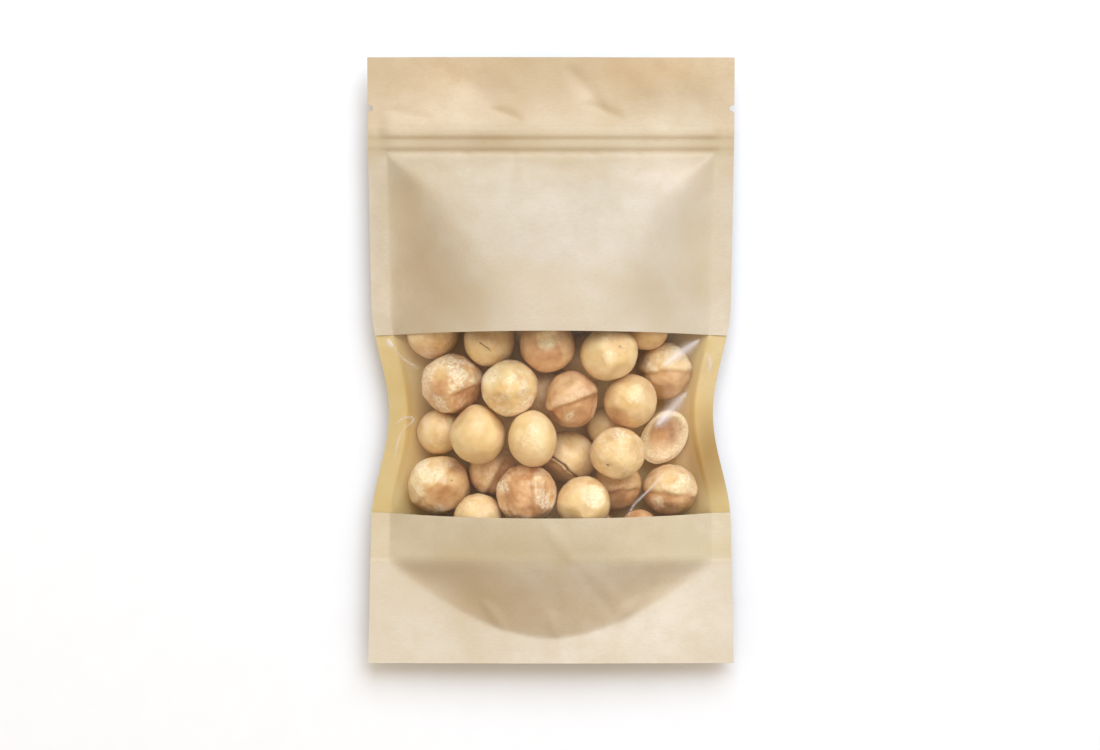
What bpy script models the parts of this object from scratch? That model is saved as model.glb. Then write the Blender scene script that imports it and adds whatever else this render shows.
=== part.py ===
"""A sealed stand-up pouch of shelled macadamia kernels, lying on its back.

The pouch is measured from its bottom edge: X runs across it, Y from the bottom edge up to the top edge, and Z up from
the table. An empty carries every piece and puts the origin under the middle of the pouch. The front web is a clear film
with two kraft plies on it, which leave a window between them. The back web is kraft. A kraft gusset is folded up
between them at the bottom, and a press-to-close zip runs across them below the top.
"""

import math

import bmesh
import bpy
import numpy as np
from mathutils import Euler, Vector, noise

MM = 0.001

# The pouch, as it lies filled.
WIDTH = 110 * MM
LENGTH = 181.5 * MM
SIDE_SEAL = 5.5 * MM
SEAM_HEIGHT = 7.6 * MM  # the sealed rims stand off the table, because the back bulges too
PINCH_AT = 75 * MM  # the filling draws the sides in most here
PINCH_DEPTH = 5.0 * MM
PINCH_REACH = 33 * MM
DRAW_IN = 1.4 * MM  # and a little over most of the length
DRAW_REACH = 100 * MM

# The webs. The plies of one web keep PLY_GAP between them.
KRAFT = 0.3 * MM
FILM = 0.2 * MM
PLY_GAP = 0.25 * MM

# The window between the two kraft plies of the front.
WINDOW_LOW = 45.2 * MM
WINDOW_HIGH = 98.2 * MM

# The gusset's folded edge, and the low point of the curved seal that closes it.
FOLD = 31 * MM
ARC_LOW = 7.5 * MM
ARC_HALF_WIDTH = 49 * MM
ARC_ROUNDNESS = 0.55  # 0.5 is a parabola, and more makes the arc more of a V
GUSSET_SPACE = 1.7 * MM  # between film and back, with both legs of the gusset in it
LEG_OFFSET = 0.42 * MM  # from the seam plane to the middle of a leg
LEG_LIFT = 0.35  # share of the bulge that the gusset's legs follow
FLAP_OPENING = 2.0 * MM

# The zip.
ZIP_AT = 156.7 * MM
ZIP_HEIGHT = 7.6 * MM
ZIP_HALF_LENGTH = 48.3 * MM
ZIP_SPACE = 3.2 * MM  # between film and back, with both strips in it
NOTCH_AT = 166.4 * MM
NOTCH_RADIUS = 0.9 * MM
NOTCH_INSET = 0.5 * MM

# Along the middle of the front, (distance from the bottom edge, height over the seam), in millimetres.
FRONT_RISE = [
    (7.5, 0), (14, 4.3), (22, 9.2), (31, 14.6), (38, 17.8), (45, 20.2), (55, 22.8), (70, 25.4),
    (85, 27.2), (98, 27.6), (107, 27.2), (112, 26.0), (126, 19.4), (140, 11.6), (147, 7.0), (150.5, 3.4), (152.5, 0),
]
# The same for the back, before the table flattens it.
BACK_SAG = [(7.5, 0), (20, 5), (31, 10), (45, 15), (75, 17), (105, 15), (130, 7), (150, 0)]
# How full the cross-section is at each place: the exponents of (1 - u**power)**squareness.
POWER = [(0, 2.2), (31, 2.6), (60, 2.5), (98, 2.4), (152, 2.3)]
SQUARENESS = [
    (0, 1.0), (31, 1.0), (45, 0.95), (60, 0.85), (85, 0.85), (98, 1.0), (107, 1.25), (112, 1.4), (126, 1.4), (140, 1.1),
    (152, 1.0),
]
BACK_SQUARENESS = 0.6  # the table spreads the back, so this share of the exponent is enough there

# The kernels. Each is (across, up from the bottom edge, radius) in millimetres, by layer. The first two layers show
# in the window, and the last only holds them up.
LAYERS = {
    "upper": [
        (-18.0, 96.1, 7.9), (-1.5, 95.2, 8.1), (18.5, 90.6, 8.4), (-12.1, 82.3, 8.4), (6.0, 79.2, 8.2),
        (22.2, 77.7, 7.8), (-23.0, 68.1, 8.4), (-5.8, 66.9, 7.9), (20.5, 64.1, 7.9), (-7.7, 51.7, 8.7),
        (9.6, 48.0, 8.1), (-21.3, 45.6, 7.6), (-12.0, 112.0, 8.2), (5.0, 111.0, 8.0),
    ],
    "lower": [
        (-34.0, 97.3, 8.0), (34.8, 87.6, 8.3), (-30.2, 83.3, 8.9), (-34.2, 54.6, 8.9), (34.6, 51.7, 8.0),
        (6.0, 62.1, 8.1), (-33.0, 69.5, 6.8), (-19.8, 56.4, 7.6), (19.2, 52.2, 7.6), (10.5, 91.5, 7.6),
        (-3.5, 81.5, 7.6), (28.5, 99.5, 7.0), (27.0, 41.5, 7.2),
    ],
    "hidden": [
        (13.0, 42.0, 6.8), (-8.5, 41.0, 7.0), (10.9, 105.0, 7.4), (-25.0, 108.0, 7.2), (-8.0, 101.0, 7.2),
        (19.5, 73.0, 6.4), (27.0, 114.5, 6.8), (-2.0, 118.0, 6.6),
    ],
}
HALF_KERNEL = (35.0, 67.9, 8.3)  # one cotyledon, split off, with its inner face up; it lies in the lower layer
START_HEIGHTS = {"upper": 24 * MM, "lower": 12 * MM, "hidden": 8.5 * MM}
HOLDS = {"upper": 0.3, "lower": 0.25, "hidden": 0.04}  # how firmly a kernel keeps its place as they settle

KERNEL_GAP = 0.3 * MM
WALL_GAP = 0.5 * MM  # from the webs' curves, because the flat faces of their meshes cut in a little
SETTLING_STEPS = 900
HOLDING_STEPS = 600  # after these, the kernels only push each other apart
SINK = 0.03 * MM  # at each step


def smooth_curve(stations, y):
    """The monotone cubic through (millimetres, value) stations, at y in metres."""
    at = np.array([s[0] for s in stations], float) * MM
    value = np.array([s[1] for s in stations], float)
    slope = np.diff(value) / np.diff(at)
    tangent = np.zeros(len(at))
    same_way = slope[:-1] * slope[1:] > 0
    tangent[1:-1][same_way] = 2 * slope[:-1][same_way] * slope[1:][same_way] / (slope[:-1] + slope[1:])[same_way]
    y = np.clip(y, at[0], at[-1])
    i = np.clip(np.searchsorted(at, y, side="right") - 1, 0, len(at) - 2)
    width = at[i + 1] - at[i]
    t = (y - at[i]) / width
    from_low = value[i] + t * (value[i + 1] - value[i])
    bend = t * (1 - t) * width * ((1 - t) * (tangent[i] - slope[i]) - t * (tangent[i + 1] - slope[i]))
    return from_low + bend


def step_up(value, low, high):
    """0 below low, 1 above high, and smooth between."""
    t = np.clip((value - low) / (high - low), 0, 1)
    return t * t * (3 - 2 * t)


def half_width(y):
    draw = np.cos(math.pi / 2 * np.clip(abs(y - PINCH_AT) / DRAW_REACH, 0, 1)) ** 2
    pinch = np.cos(math.pi / 2 * np.clip(abs(y - PINCH_AT) / PINCH_REACH, 0, 1)) ** 2
    return WIDTH / 2 - DRAW_IN * draw - PINCH_DEPTH * pinch


def open_half_width(y):
    """Where the front and the back part: inside the side seals, and above the curved seal of the gusset."""
    up_the_arc = np.clip((y - ARC_LOW) / (FOLD - ARC_LOW), 0, 1)
    arc = ARC_HALF_WIDTH * up_the_arc**ARC_ROUNDNESS
    return np.where(y < FOLD, arc, half_width(y) - SIDE_SEAL)


def cross_section(x, y, share=1.0):
    """1 along the middle of the pouch and 0 at the seals."""
    across = np.clip(abs(x) / np.maximum(open_half_width(y), MM / 100), 0, 1)
    return (1 - across ** smooth_curve(POWER, y)) ** (share * smooth_curve(SQUARENESS, y))


def front_bulge(x, y):
    return smooth_curve(FRONT_RISE, y) * MM * cross_section(x, y)


def back_bulge(x, y):
    """The back's sag, flattened where it meets the table."""
    room = SEAM_HEIGHT - KRAFT - PLY_GAP / 2
    sag = smooth_curve(BACK_SAG, y) * MM * cross_section(x, y, BACK_SQUARENESS)
    share = np.clip(sag / (1.5 * room), 0, 1)
    return room * share * (3 - share**2) / 2


def space_between(x, y):
    """The distance that the gusset's legs or the zip's strips hold the film and the back apart."""
    gusset = (GUSSET_SPACE - PLY_GAP) * (1 - step_up(y, FOLD + 1 * MM, FOLD + 6 * MM))
    across_zip = 1 - step_up(abs(x), ZIP_HALF_LENGTH + 0.4 * MM, ZIP_HALF_LENGTH + 2.4 * MM)
    along_zip = 1 - step_up(abs(y - ZIP_AT), ZIP_HEIGHT / 2 + 0.4 * MM, ZIP_HEIGHT / 2 + 3 * MM)
    zip_space = (ZIP_SPACE - PLY_GAP) * across_zip * along_zip
    return PLY_GAP + gusset + zip_space


def flap(x, y):
    """How far each of the two bottom flaps stands off the seam plane."""
    return FLAP_OPENING * np.clip(1 - (x / ARC_HALF_WIDTH) ** 2, 0, 1) * np.clip(1 - (y / FOLD) ** 2, 0, 1)


def front_inside(x, y):
    return SEAM_HEIGHT + space_between(x, y) / 2 + flap(x, y) + front_bulge(x, y)


def back_inside(x, y):
    height = SEAM_HEIGHT - space_between(x, y) / 2 - flap(x, y) - back_bulge(x, y)
    return np.maximum(height, KRAFT)


# The grid lines that every web shares, so that neighbouring plies keep their distance.
COLUMNS = [0, 0.2, 0.4, 0.57, 0.7, 0.8, 0.865, 0.9, 1]
COLUMNS = [-c for c in COLUMNS[:0:-1]] + COLUMNS
FLAP_ROWS = np.linspace(0, WINDOW_LOW, 10)
WINDOW_ROWS = np.linspace(WINDOW_LOW, WINDOW_HIGH, 8)
BODY_ROWS = np.linspace(WINDOW_HIGH, 147 * MM, 8)
ZIP_ROWS = np.array([150.5, 152.5, 160.9, 163.4, 165]) * MM
HEADER_ROWS = np.array([170 * MM, LENGTH])
ROWS = np.unique(np.concatenate([FLAP_ROWS, WINDOW_ROWS, BODY_ROWS, ZIP_ROWS, HEADER_ROWS]).round(7))


def material(name, colour, roughness, alpha=1.0):
    made = bpy.data.materials.new(name)
    made.use_nodes = True
    shader = made.node_tree.nodes["Principled BSDF"]
    shader.inputs["Base Color"].default_value = (*colour, 1)
    shader.inputs["Roughness"].default_value = roughness
    shader.inputs["Metallic"].default_value = 0
    shader.inputs["Alpha"].default_value = alpha
    return made


def add_object(name, mesh, finish):
    obj = bpy.data.objects.new(name, mesh)
    obj.data.materials.append(finish)
    obj.parent = pouch
    pieces.objects.link(obj)
    return obj


def add_mesh(name, bm, finish, smooth=True):
    mesh = bpy.data.meshes.new(name)
    bm.to_mesh(mesh)
    bm.free()
    if smooth:
        mesh.shade_smooth()
    return add_object(name, mesh, finish)


def add_web(name, surface, low, high, lift, thickness, side, finish):
    """A ply from low to high along Y: a grid laid on the surface, moved off it by lift, then given its thickness.

    side is 1 where the thickness goes up from there, and -1 where it goes down. Every ply moves along the normals of
    the whole grid, so that neighbouring plies keep their distance.
    """
    bm = bmesh.new()
    bmesh.ops.create_grid(bm, x_segments=len(COLUMNS) - 1, y_segments=len(ROWS) - 1, size=1)
    for vert in bm.verts:
        column = round((vert.co.x + 1) / 2 * (len(COLUMNS) - 1))
        y = float(ROWS[round((vert.co.y + 1) / 2 * (len(ROWS) - 1))])
        x = COLUMNS[column] * float(half_width(y))
        vert.co = (x, y, float(surface(x, y)))
    bm.normal_update()
    outside = [v for v in bm.verts if not low - MM / 100 < v.co.y < high + MM / 100]
    moves = [(v, v.normal.copy()) for v in bm.verts]
    for vert, normal in moves:
        vert.co += lift * normal
    bmesh.ops.delete(bm, geom=outside, context="VERTS")
    web = add_mesh(name, bm, finish)
    solidify = web.modifiers.new("thickness", "SOLIDIFY")
    solidify.thickness = thickness
    solidify.offset = side
    return web


def add_gusset(finish):
    """The bottom gusset: a leg under the front, a rounded fold, and a leg over the back."""
    leg = list(np.linspace(0.4 * MM, FOLD - 1 * MM, 8))
    turn = [math.radians(a) for a in (45, 90, 135)]
    stations = [(y, 1) for y in leg] + [(FOLD - 1 * MM, math.cos(a), math.sin(a)) for a in turn]
    stations += [(y, -1) for y in reversed(leg)]
    bm = bmesh.new()
    bmesh.ops.create_grid(bm, x_segments=len(COLUMNS) - 1, y_segments=len(stations) - 1, size=1)
    for vert in bm.verts:
        column = round((vert.co.x + 1) / 2 * (len(COLUMNS) - 1))
        y, side, *turned = stations[round((vert.co.y + 1) / 2 * (len(stations) - 1))]
        x = COLUMNS[column] * float(half_width(y))
        bulge = front_bulge(x, y) if side > 0 else back_bulge(x, y)
        follow = LEG_LIFT * float(bulge) * float(1 - step_up(y, FOLD / 2, FOLD - 1 * MM))
        offset = math.copysign(LEG_OFFSET + float(flap(x, y)) + follow, side)
        if turned:
            offset = side * (LEG_OFFSET + float(flap(x, y)))
            y += LEG_OFFSET * turned[0]
        vert.co = (x, y, SEAM_HEIGHT + offset)
    gusset = add_mesh("bottom_gusset", bm, finish)
    solidify = gusset.modifiers.new("thickness", "SOLIDIFY")
    solidify.thickness = KRAFT
    solidify.offset = 0
    return gusset


def add_zip_strip(name, outline, finish):
    """A zip strip: its section in millimetres, (along Y, along Z) from the zip's middle, drawn out along X."""
    curve = bpy.data.curves.new(name, "CURVE")
    curve.dimensions = "2D"
    curve.fill_mode = "BOTH"
    curve.extrude = ZIP_HALF_LENGTH
    spline = curve.splines.new("POLY")
    spline.points.add(len(outline) - 1)
    for point, (y, z) in zip(spline.points, outline, strict=True):
        point.co = (y * MM, z * MM, 0, 1)
    spline.use_cyclic_u = True
    strip = add_object(name, curve, finish)
    strip.rotation_euler = (math.pi / 2, 0, math.pi / 2)
    strip.location = (0, ZIP_AT, SEAM_HEIGHT)
    return strip


def add_zip(finish):
    """Two strips that press together: the front one holds two hooked lips, and the back one a rib that sits in them."""
    edge = ZIP_HEIGHT / MM / 2
    web = ZIP_SPACE / MM / 2 - PLY_GAP / MM
    inner = web - 0.35
    lips = [(-edge, web), (-edge, inner), (-1.5, inner), (-1.5, -0.75), (-0.8, -0.75), (-0.8, -0.35),
            (-1.05, -0.35), (-1.05, inner), (1.05, inner), (1.05, -0.35), (0.8, -0.35), (0.8, -0.75),
            (1.5, -0.75), (1.5, inner), (edge, inner), (edge, web)]
    rib = [(-edge, -web), (edge, -web), (edge, -inner), (0.35, -inner), (0.35, 0), (0.7, 0.1),
           (0.35, 0.6), (-0.35, 0.6), (-0.7, 0.1), (-0.35, 0), (-0.35, -inner), (-edge, -inner)]
    add_zip_strip("zip_groove_strip", lips, finish)
    add_zip_strip("zip_rib_strip", rib, finish)


def cut_notches(webs):
    """The tear notches: a round nick in both side edges, through every web."""
    for side in (-1, 1):
        bpy.ops.mesh.primitive_cylinder_add(vertices=16, radius=NOTCH_RADIUS, depth=4 * SEAM_HEIGHT)
        cutter = bpy.context.object
        cutter.name = "notch_cutter_left" if side < 0 else "notch_cutter_right"
        cutter.parent = pouch
        cutter.location = (side * (float(half_width(NOTCH_AT)) - NOTCH_INSET), NOTCH_AT, SEAM_HEIGHT)
        cutter.hide_render = True
        cutter.display_type = "WIRE"
        for collection in list(cutter.users_collection):
            collection.objects.unlink(cutter)
        cutters.objects.link(cutter)
        for web in webs:
            boolean = web.modifiers.new(cutter.name, "BOOLEAN")
            boolean.operation = "DIFFERENCE"
            boolean.object = cutter


def directions(count):
    """Unit vectors spread evenly over a sphere."""
    i = np.arange(count) + 0.5
    z = 1 - 2 * i / count
    turn = math.pi * (1 + math.sqrt(5)) * i
    ring = np.sqrt(1 - z**2)
    return np.stack([ring * np.cos(turn), ring * np.sin(turn), z], axis=1)


def wall_push(centres, reach):
    """How each kernel is pushed back from the film, the back and the gusset's fold."""
    ways = directions(90)
    touch = centres[:, None] + reach[:, None, None] * ways
    x, y, z = touch[..., 0], touch[..., 1], touch[..., 2]
    out = np.maximum(z - front_inside(x, y), back_inside(x, y) - z)
    out = np.maximum(out, FOLD + 1.5 * MM - y)
    worst = out.argmax(axis=1)
    depth = np.maximum(out[np.arange(len(centres)), worst], 0)
    return -ways[worst] * depth[:, None], depth


def settled(kernels):
    """The kernels' centres and radii once they rest on each other and on the webs, with no two touching."""
    wanted = np.array([k[:3] for k in kernels])
    radius = np.array([k[3] for k in kernels])
    hold = np.array([k[4] for k in kernels])
    centres = wanted.copy()
    reach = radius + KERNEL_GAP / 2
    for step in range(SETTLING_STEPS):
        if step < HOLDING_STEPS:
            centres[:, :2] += hold[:, None] * (wanted - centres)[:, :2]
            centres[:, 2] -= SINK
        apart = centres[:, None] - centres[None]
        distance = np.linalg.norm(apart, axis=2) + np.eye(len(centres))
        overlap = np.maximum(reach[:, None] + reach[None] - distance, 0)
        centres += 0.35 * (apart / distance[..., None] * overlap[..., None]).sum(axis=1)
        centres += 0.5 * wall_push(centres, radius + WALL_GAP)[0]
    apart = np.linalg.norm(centres[:, None] - centres[None], axis=2) + np.eye(len(centres))
    share = (apart - KERNEL_GAP) / (radius[:, None] + radius[None])
    radius = radius * np.minimum(share.min(axis=1), 1)
    radius = radius - wall_push(centres, radius + WALL_GAP)[1]
    return centres, radius


def kernel_shape(bm, radius, seed):
    """Turns a unit sphere into a kernel inside that radius: a little flat and uneven, lying its own way."""
    lean = Euler((seed * 1.7, seed * 2.9, seed * 0.8)).to_matrix()
    for vert in bm.verts:
        uneven = 0.5 + 0.5 * noise.noise(vert.co * 1.1 + Vector((seed * 7.3, 0, 0)))
        vert.co = Vector((vert.co.x, vert.co.y * 0.99, vert.co.z * 0.97)) * (1 - 0.025 * uneven)
        vert.co = lean @ vert.co * radius


def add_kernel(name, centre, radius, seed, finish):
    bm = bmesh.new()
    bmesh.ops.create_uvsphere(bm, u_segments=14, v_segments=10, radius=1)
    kernel_shape(bm, radius, seed)
    kernel = add_mesh(name, bm, finish)
    kernel.location = centre
    return kernel


def add_half_kernel(name, centre, radius, finish):
    """One cotyledon: half of a longer kernel, cut across and hollowed a little, with the cut face up and leaning."""
    bm = bmesh.new()
    bmesh.ops.create_uvsphere(bm, u_segments=14, v_segments=10, radius=radius)
    everything = bm.verts[:] + bm.edges[:] + bm.faces[:]
    cut = bmesh.ops.bisect_plane(bm, geom=everything, plane_no=(0, 0, 1), clear_outer=True)
    rim = [e for e in cut["geom_cut"] if isinstance(e, bmesh.types.BMEdge)]
    face = bmesh.ops.contextual_create(bm, geom=rim)["faces"]
    bmesh.ops.inset_region(bm, faces=face, thickness=radius * 0.25)
    bmesh.ops.poke(bm, faces=face, offset=-radius * 0.22)
    lean = Euler((math.radians(12), math.radians(24), math.radians(-22))).to_matrix()
    for vert in bm.verts:
        vert.co = lean @ Vector((vert.co.x * 0.84, vert.co.y * 0.99, vert.co.z * 0.8))
    bmesh.ops.recalc_face_normals(bm, faces=bm.faces[:])
    half = add_mesh(name, bm, finish, smooth=False)
    half.location = centre
    return half


def build():
    kraft = material("kraft_laminate", (0.72, 0.57, 0.38), 0.6)
    clear = material("clear_film", (0.95, 0.95, 0.93), 0.1, alpha=0.25)
    plastic = material("zip_plastic", (0.9, 0.9, 0.88), 0.35)
    nut = material("roasted_kernel", (0.85, 0.66, 0.38), 0.5)

    on_film = FILM + PLY_GAP
    film = add_web("front_film", front_inside, 0, LENGTH, 0, FILM, 1, clear)
    upper = add_web("front_kraft_upper", front_inside, WINDOW_HIGH, LENGTH, on_film, KRAFT, 1, kraft)
    add_web("front_kraft_lower", front_inside, 0, WINDOW_LOW, on_film, KRAFT, 1, kraft)
    back = add_web("back_panel", back_inside, 0, LENGTH, 0, KRAFT, -1, kraft)
    cut_notches([film, upper, back])
    add_gusset(kraft)
    add_zip(plastic)

    kernels = [
        (x * MM, y * MM, START_HEIGHTS[layer], r * MM, HOLDS[layer])
        for layer, places in LAYERS.items()
        for x, y, r in places
    ]
    half_x, half_y, half_r = (v * MM for v in HALF_KERNEL)
    kernels.append((half_x, half_y, START_HEIGHTS["lower"], half_r, HOLDS["lower"]))
    centres, radii = settled(kernels)
    for number, (centre, radius) in enumerate(zip(centres[:-1], radii[:-1], strict=True), start=1):
        add_kernel(f"kernel_{number:02d}", centre, float(radius), number, nut)
    add_half_kernel("kernel_half", centres[-1], float(radii[-1]), nut)


for old in list(bpy.data.objects):
    bpy.data.objects.remove(old)
pieces = bpy.data.collections.new("macadamia_pouch")
cutters = bpy.data.collections.new("cutters")
bpy.context.scene.collection.children.link(pieces)
bpy.context.scene.collection.children.link(cutters)
pouch = bpy.data.objects.new("pouch", None)
pouch.location = (0, -LENGTH / 2, 0)
pieces.objects.link(pouch)
build()
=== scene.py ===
import math

import bpy
import numpy as np
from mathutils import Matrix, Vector, noise


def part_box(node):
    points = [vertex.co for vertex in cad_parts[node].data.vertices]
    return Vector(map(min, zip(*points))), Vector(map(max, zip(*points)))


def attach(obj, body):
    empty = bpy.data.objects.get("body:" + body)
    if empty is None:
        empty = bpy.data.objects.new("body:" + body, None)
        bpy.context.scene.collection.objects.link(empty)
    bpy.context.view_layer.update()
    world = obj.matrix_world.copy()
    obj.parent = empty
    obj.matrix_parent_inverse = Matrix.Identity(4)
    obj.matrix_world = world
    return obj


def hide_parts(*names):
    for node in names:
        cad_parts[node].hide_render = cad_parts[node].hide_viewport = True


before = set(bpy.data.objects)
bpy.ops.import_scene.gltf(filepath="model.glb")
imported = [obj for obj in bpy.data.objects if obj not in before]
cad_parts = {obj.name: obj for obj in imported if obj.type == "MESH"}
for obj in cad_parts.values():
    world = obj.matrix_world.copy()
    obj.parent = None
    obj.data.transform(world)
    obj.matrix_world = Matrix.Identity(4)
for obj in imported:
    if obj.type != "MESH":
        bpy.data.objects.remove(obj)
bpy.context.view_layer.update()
mm = 0.001

# The pouch lies on its back. Its webs are worked out in millimetres: x across, y up from the bottom edge,
# and z up from the plane of its seams. These places come from the frame.
backLow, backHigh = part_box("back_panel")
bottomEdge = backLow.y
seamPlane = (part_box("zip_groove_strip")[1].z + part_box("zip_rib_strip")[0].z) / 2
seamHeight = seamPlane / mm
pouchHalf = backHigh.x / mm
pouchLength = (backHigh.y - bottomEdge) / mm
windowLow = round((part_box("front_kraft_lower")[1].y - bottomEdge) / mm, 1)
windowHigh = round((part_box("front_kraft_upper")[0].y - bottomEdge) / mm, 1)
foldLine = round((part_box("bottom_gusset")[1].y - bottomEdge) / mm, 1)
zipMiddle = ((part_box("zip_rib_strip")[0].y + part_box("zip_rib_strip")[1].y) / 2 - bottomEdge) / mm
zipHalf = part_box("zip_rib_strip")[1].x / mm


def deselectAll():
    if bpy.context.object and bpy.context.object.mode != "OBJECT":
        bpy.ops.object.mode_set(mode="OBJECT")
    bpy.ops.object.select_all(action="DESELECT")


def makeActive(piece):
    deselectAll()
    piece.select_set(True)
    bpy.context.view_layer.objects.active = piece


def applyModifier(piece, kind, **settings):
    modifier = piece.modifiers.new(kind.lower(), kind)
    for setting, value in settings.items():
        setattr(modifier, setting, value)
    makeActive(piece)
    bpy.ops.object.modifier_apply(modifier=modifier.name)


def readPoints(mesh):
    flat = np.empty(len(mesh.vertices) * 3, np.float32)
    mesh.vertices.foreach_get("co", flat)
    return flat.reshape(-1, 3).astype(float)


def writePoints(mesh, points):
    mesh.vertices.foreach_set("co", np.ascontiguousarray(points, np.float32).ravel())
    mesh.update()


def finishPiece(piece, slotName, *nodes):
    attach(piece, "root")
    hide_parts(*nodes)


def smoothCurve(stations, at):
    # a monotone cubic through the stations, so a profile never swings past its own points
    where = np.array([s[0] for s in stations], float)
    value = np.array([s[1] for s in stations], float)
    slope = np.diff(value) / np.diff(where)
    tangent = np.zeros(len(where))
    sameWay = slope[:-1] * slope[1:] > 0
    tangent[1:-1][sameWay] = 2 * slope[:-1][sameWay] * slope[1:][sameWay] / (slope[:-1] + slope[1:])[sameWay]
    at = np.clip(at, where[0], where[-1])
    i = np.clip(np.searchsorted(where, at, side="right") - 1, 0, len(where) - 2)
    width = where[i + 1] - where[i]
    t = (at - where[i]) / width
    bend = t * (1 - t) * width * ((1 - t) * (tangent[i] - slope[i]) - t * (tangent[i + 1] - slope[i]))
    return value[i] + t * (value[i + 1] - value[i]) + bend


def stepUp(value, low, high):
    t = np.clip((value - low) / (high - low), 0, 1)
    return t * t * (3 - 2 * t)


def ripples(x, y, size, seed):
    # soft waves in every direction, about 1 high, whose crests are roughly size millimetres apart
    dice = np.random.default_rng(seed)
    total = 0
    for _ in range(7):
        angle, phase = dice.uniform(0, math.pi), dice.uniform(0, 2 * math.pi)
        length = size * dice.uniform(0.7, 1.6)
        total = total + np.sin((x * math.cos(angle) + y * math.sin(angle)) * 2 * math.pi / length + phase)
    return total / 3.2


def wave(kind, x, y, share=1):
    height, size, seed = waves[kind]
    return height * share * ripples(x, y, size, seed)


def softHigher(a, b, blend=1.2):
    # the higher of two surfaces, with the step where they cross rounded off
    share = np.clip(0.5 + (b - a) / blend, 0, 1)
    return a + (b - a) * share + blend / 2 * share * (1 - share)


# The filled shape of the pouch. rise is its height along the middle, and end the height that the upper end
# climbs to from the zip; the lower of the two wins, which gives the hips at the upper corners. power and
# squareness give the cross-section at each place: a bell where the kernels lie one deep at the sides,
# fuller over the window. sag is how far the back would hang if nothing lay under it.
pillow = {
    "rise": [(29, 13.6), (31, 14.6), (34, 16.1), (38, 17.9), (45, 20.3), (55, 23.0), (70, 25.6), (85, 27.4),
             (98, 28.1), (107, 28.1), (152.6, 28.1)],
    "end": [(98, 70), (104, 48), (112, 33), (118, 27), (126, 21.2), (133, 16.6), (140, 12.1), (143.5, 9.2),
            (147, 6.0), (149.6, 3.1), (151.2, 1.25), (152.4, 0.3), (153.4, 0.0)],
    "power": [(31, 2.6), (60, 2.5), (98, 2.35), (107, 2.3), (152, 2.3)],
    "squareness": [(31, 1.25), (45, 1.12), (60, 0.9), (85, 0.85), (92, 0.95), (98, 1.15), (103, 1.35),
                   (107, 1.45), (112, 1.5), (126, 1.5), (140, 1.45), (152, 1.3)],
    "backShare": 1.25,
    "hip": 5.0,
    "sideSeal": 5.5,
    "pinchAt": 75.0,
    "pinchDepth": 5.0,
    "pinchReach": 33.0,
    "drawIn": 1.4,
    "drawReach": 100.0,
    "sag": [(7.5, 0), (20, 5), (31, 10), (45, 15), (75, 17), (105, 15), (130, 7), (150, 0)],
}
# The gusset's fold is a soft bend in the front, the mean of a few heights: how far apart they are, between
# which rows the bend comes and goes, and each one's offset and share.
foldBend = {"reach": 1.1, "comes": (22, 26), "goes": (36, 40),
            "shares": [(-1.6, 0.2), (-0.5, 0.3), (0.5, 0.3), (1.6, 0.2)]}
# The curved seal of the gusset, and the flap under it. The web leaves the seal steeply in the middle and
# gently at the sides. layers is how thick the folded gusset is, and stepReach how far its step takes to
# fade above the fold.
gussetSeal = {
    "low": 7.5, "halfWidth": 49.0, "bend": 1.8, "bow": 2.6, "middleSteepness": 0.85, "sideSteepness": 0.12,
    "gentlerBetween": (4, 38), "flapOpening": 1.4, "layers": 0.36, "stepReach": 4.5, "crisperBy": 3.7,
    "crisperBetween": (44, 49), "backFill": 1.6,
}
# The zip under the kraft: height over the seams, from its lower edge up. Past its ends, counted from there,
# it is crushed into the side seals and the back is welded to the front.
zipRelief = {
    "profile": [(151.8, 0.0), (153.0, 0.3), (153.8, 0.58), (154.5, 1.16), (155.1, 1.42), (156.2, 1.62),
                (157.1, 1.84), (158.1, 2.58), (158.7, 2.7), (159.4, 2.68), (160.4, 2.52), (161.2, 1.9),
                (162.2, 1.62), (165, 0.95), (170, 0.3), (176, 0.0)],
    "crushed": 0.4,
    "crushedBetween": (-0.8, 4),
    "weldedBetween": (0.4, 3.2),
    "backShare": 0.6,
}
# The header curls up towards its top edge, a little more at one side.
header = {"begins": (160, 178), "curl": 3.0, "curlFrom": 163.5, "curlOver": 18, "curlBend": 1.3,
          "lopsided": 0.2, "lopsidedSize": 24}
# How the webs wave where nothing pulls them tight: height, distance between crests and seed. The paper's tone
# wanders in the same way.
waves = {
    "header": (0.25, 34, 3), "seams": (0.07, 19, 4), "bottom": (0.12, 27, 5), "front": (0.16, 26, 11),
    "frontFine": (0.05, 9, 12), "back": (0.22, 17, 21), "tone": (0.6, 30, 31), "toneFine": (0.4, 13, 32),
}
# How thick the webs are, and how far apart they lie where they are welded.
webs = {"film": 0.10, "kraft": 0.15, "gap": 0.02, "bond": 0.06, "gusset": 0.12}
notches = {"at": 166.4, "half": 0.95, "depth": 1.5, "roundness": 0.7}
print("frame read: pouch", round(2 * pouchHalf, 1), "x", round(pouchLength, 1), "mm")


def halfWidth(y):
    draw = np.cos(math.pi / 2 * np.clip(abs(y - pillow["pinchAt"]) / pillow["drawReach"], 0, 1)) ** 2
    pinch = np.cos(math.pi / 2 * np.clip(abs(y - pillow["pinchAt"]) / pillow["pinchReach"], 0, 1)) ** 2
    return pouchHalf - pillow["drawIn"] * draw - pillow["pinchDepth"] * pinch


def sealArc(x):
    # the curved seal's height at each x; it meets the side seals at the fold
    reach = np.clip(abs(x) / gussetSeal["halfWidth"], 0, 1) ** gussetSeal["bend"]
    return gussetSeal["low"] + (foldLine - gussetSeal["low"]) * reach


def lowerOf(a, b, sharpness):
    a, b = np.maximum(a, 1e-6), np.maximum(b, 1e-6)
    return a * b / (a**sharpness + b**sharpness) ** (1 / sharpness)


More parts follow.
